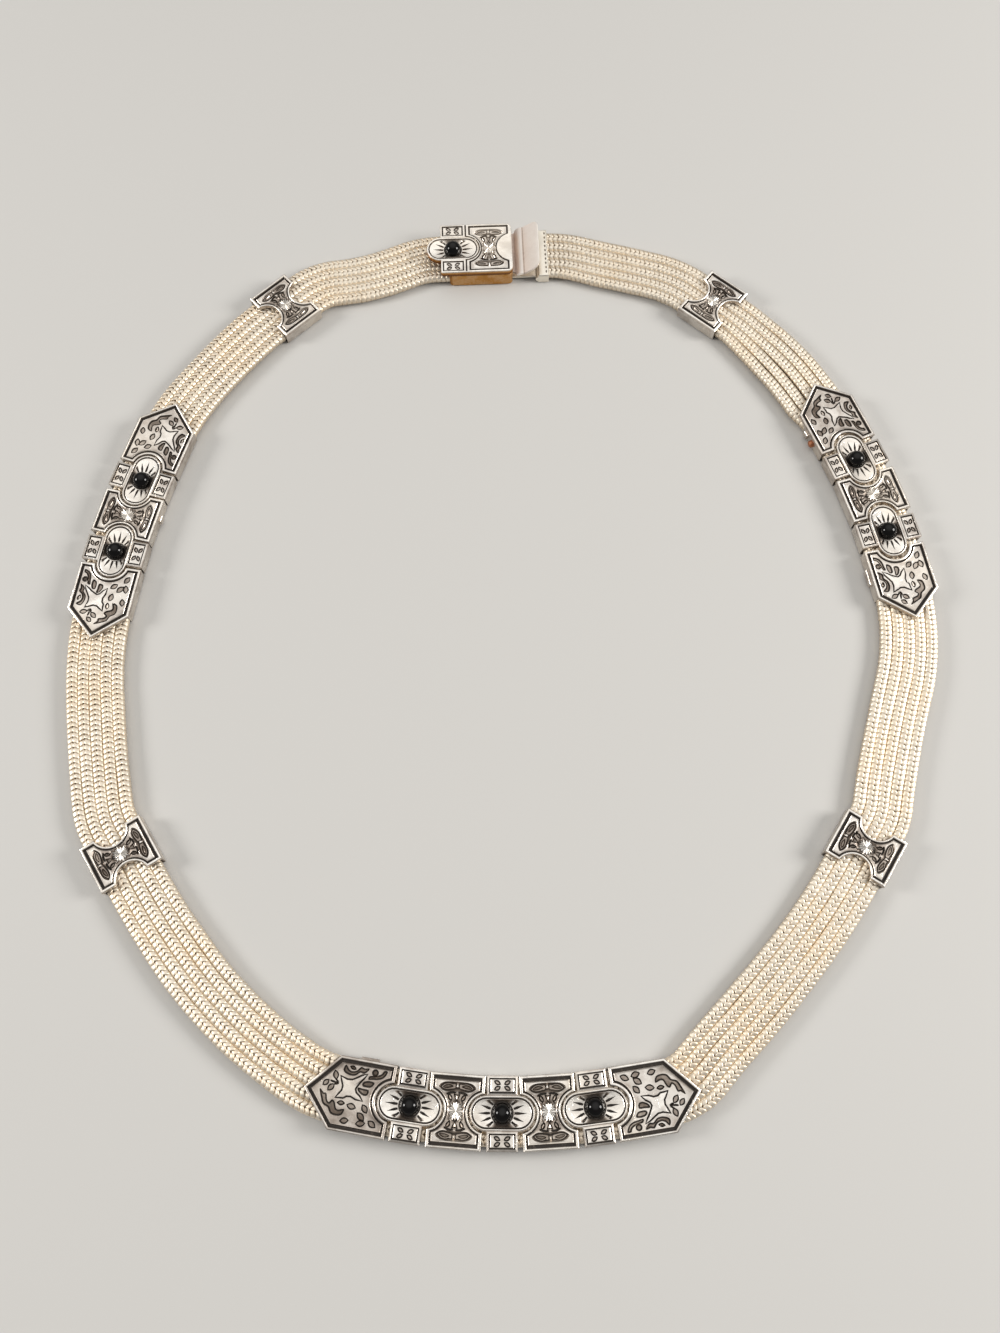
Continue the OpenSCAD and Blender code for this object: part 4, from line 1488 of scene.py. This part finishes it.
def faded(shell, share):
    """The same shell with weaker darkening on its face: the clasp is the plate rubbed most."""
    verts, low, faces = shell
    low = [v if q[2] <= FACE_FROM else v * (share if v < 1 else share + 0.1)
           for q, v in zip(verts, low)]
    return verts, low, faces


# %% Clasp materials
BRUSHED = silver(
    "brushed_silver",
    [(0.0, (0.95, 0.90, 0.84)), (0.5, (0.60, 0.49, 0.42)), (1.0, (0.12, 0.075, 0.04))],
    (0.88, 0.78, 0.74), 0.42, 0.05, 0.1, 0.2, 0.5, 0.8, metallic=0.45)
AT_CLASP, CLASP_HEADING = spot(CLASP, 0)
# the lower faces of the box: a brown film on the outer walls, painted shade inside the box and
# under the overhanging face
FILMED_AND_SHADED = silver(
    "filmed_and_shaded_silver",
    [(0.0, (0.92, 0.82, 0.66)), (0.35, (0.52, 0.26, 0.07)), (0.7, (0.17, 0.06, 0.02)),
     (1.0, (0.06, 0.025, 0.01))],
    (0.60, 0.34, 0.10), 0.38, 0.1, 0.2, 0.8, 0.5)
BOX = plate_object("clasp_box_faces", faded(box_shell(), 0.72), AT_CLASP, CLASP_HEADING)
BOX.data.materials.append(FILMED_AND_SHADED)
for face in BOX.data.polygons:
    face.material_index = 1 if face.center.z < FACE_FROM * MM else 0
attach(BOX, "choker")
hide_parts("clasp_box")
print("box:", len(BOX.data.polygons), "faces")


# %% Lever
def bent_sheet(shell, stations, cut=0.05):
    """A bent sheet across Y: each station has x, top, bottom, half width and darkness."""
    rings = [[(x, half, bottom), (x, half, top - cut), (x, half - cut, top),
              (x, -half + cut, top), (x, -half, top - cut), (x, -half, bottom)]
             for x, top, bottom, half, _ in stations]
    loft(shell, rings, [station[4] for station in stations])


# the darkness is painted shade: high where the sheet runs inside the box, just outside the mouth
# and in the crease where the tab bends up
LEVER = [
    # x, top, bottom, half width, darkness
    (2.90, 1.72, 1.30, 4.1, 0.5), (-3.30, 2.35, 1.95, 4.1, 0.4), (-3.45, 2.88, 1.96, 4.1, 0.3),
    (-4.00, 2.90, 1.98, 4.1, 0.3), (-4.15, 2.36, 1.98, 4.1, 0.5), (-4.75, 2.36, 1.97, 4.3, 0.6),
    (-5.00, 2.52, 2.02, 4.85, 0.25), (-5.35, 2.86, 2.35, 5.0, 0.0), (-5.75, 3.06, 2.56, 5.0, 0.0),
    (-6.10, 3.12, 2.64, 5.0, 0.05), (-6.35, 3.16, 2.72, 5.0, 0.75), (-6.50, 3.27, 2.80, 5.0, 0.3),
    (-7.30, 3.84, 3.38, 5.0, 0.22), (-8.10, 4.43, 4.00, 5.0, 0.18), (-8.60, 4.80, 4.38, 4.85, 0.15),
    (-8.90, 5.02, 4.60, 4.55, 0.1), (-9.08, 5.12, 4.74, 4.1, 0.0), (-9.15, 5.10, 4.82, 3.8, 0.1),
]


lever_shell = ([], [], [])
bent_sheet(lever_shell, LEVER)
lever = plate_object("lever_sheet", lever_shell, AT_CLASP, CLASP_HEADING, BRUSHED)
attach(lever, "clasp_lever")
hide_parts("clasp_lever")
print("lever:", len(lever.data.polygons), "faces")

# %% Tongue
SHEET = silver(
    "sheet_silver",
    [(0.0, (0.95, 0.90, 0.80)), (0.5, (0.62, 0.55, 0.46)), (1.0, (0.12, 0.09, 0.06))],
    (0.94, 0.85, 0.70), 0.34, 0.08, 0.2, 0.5, 0.4)
CAP_END, CAP_START, CAP_TOP = -10.9, -9.0, 2.25
CAP_EDGE = ((0.0, 0.18, 0.1), (0.08, 0.05, 0.0), (0.2, 0.0, 0.0))
# two stitches over each strand: where they are, their spacing, length and width
STITCHES, STITCH_X, STITCH_PITCH, STITCH_L, STITCH_W = 10, -10.45, 0.93, 0.52, 0.2


def tongue_shell():
    """The sheet that slides in, its lip and rolled end, and the cap over the strands."""
    shell = ([], [], [])
    bent_sheet(shell, [(x, 1.0, 0.6, 4.2, 0.1) for x in (3.4, -9.2)])
    bent_sheet(shell, [(x, 2.3, 0.6, 4.2, 0.2) for x in (3.8, 3.4)])
    loft(shell, [[(x, y, z) for x, z in circle((-9.1, 0.95), 0.6, 18)] for y in (-4.9, 4.9)],
         [0.1, 0.1])
    r = Relief()
    outline, *_ = [r.line(rectangle(CAP_END, -5, CAP_START, 5, d), depth, low)
                   for d, depth, low in CAP_EDGE]
    for k in range(STITCHES):
        y = (k - (STITCHES - 1) / 2) * STITCH_PITCH
        for grow, depth, low in ((0.12, 0.0, 0.1), (0.0, 0.12, 0.9)):
            r.line(lens_loop(STITCH_X, y, 90, STITCH_L + grow, STITCH_W + grow, 5), depth, low)
    lid_shell(r, outline, CAP_TOP, CAP_TOP - 0.22, shell)
    tube_shell([(CAP_END, 5.0, 0.15, CAP_TOP - 0.22, 0.1, 4.81, 0.3, 1.98),
                (-10.1, 5.0, 0.15, CAP_TOP - 0.22, 0.1, 4.81, 0.3, 1.98),
                (-10.0, 5.0, 0.15, CAP_TOP - 0.22, 0.1, 0.2, 1.0, 1.2),
                (CAP_START, 5.0, 0.15, CAP_TOP - 0.22, 0.1, 0.2, 1.0, 1.2)], shell, 0.1)
    return shell


tongue = plate_object("tongue_sheet", tongue_shell(), AT_CLASP, CLASP_HEADING, SHEET)
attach(tongue, "choker")
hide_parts("clasp_tongue")
print("clasp pieces:", BOX.name, lever.name, tongue.name)
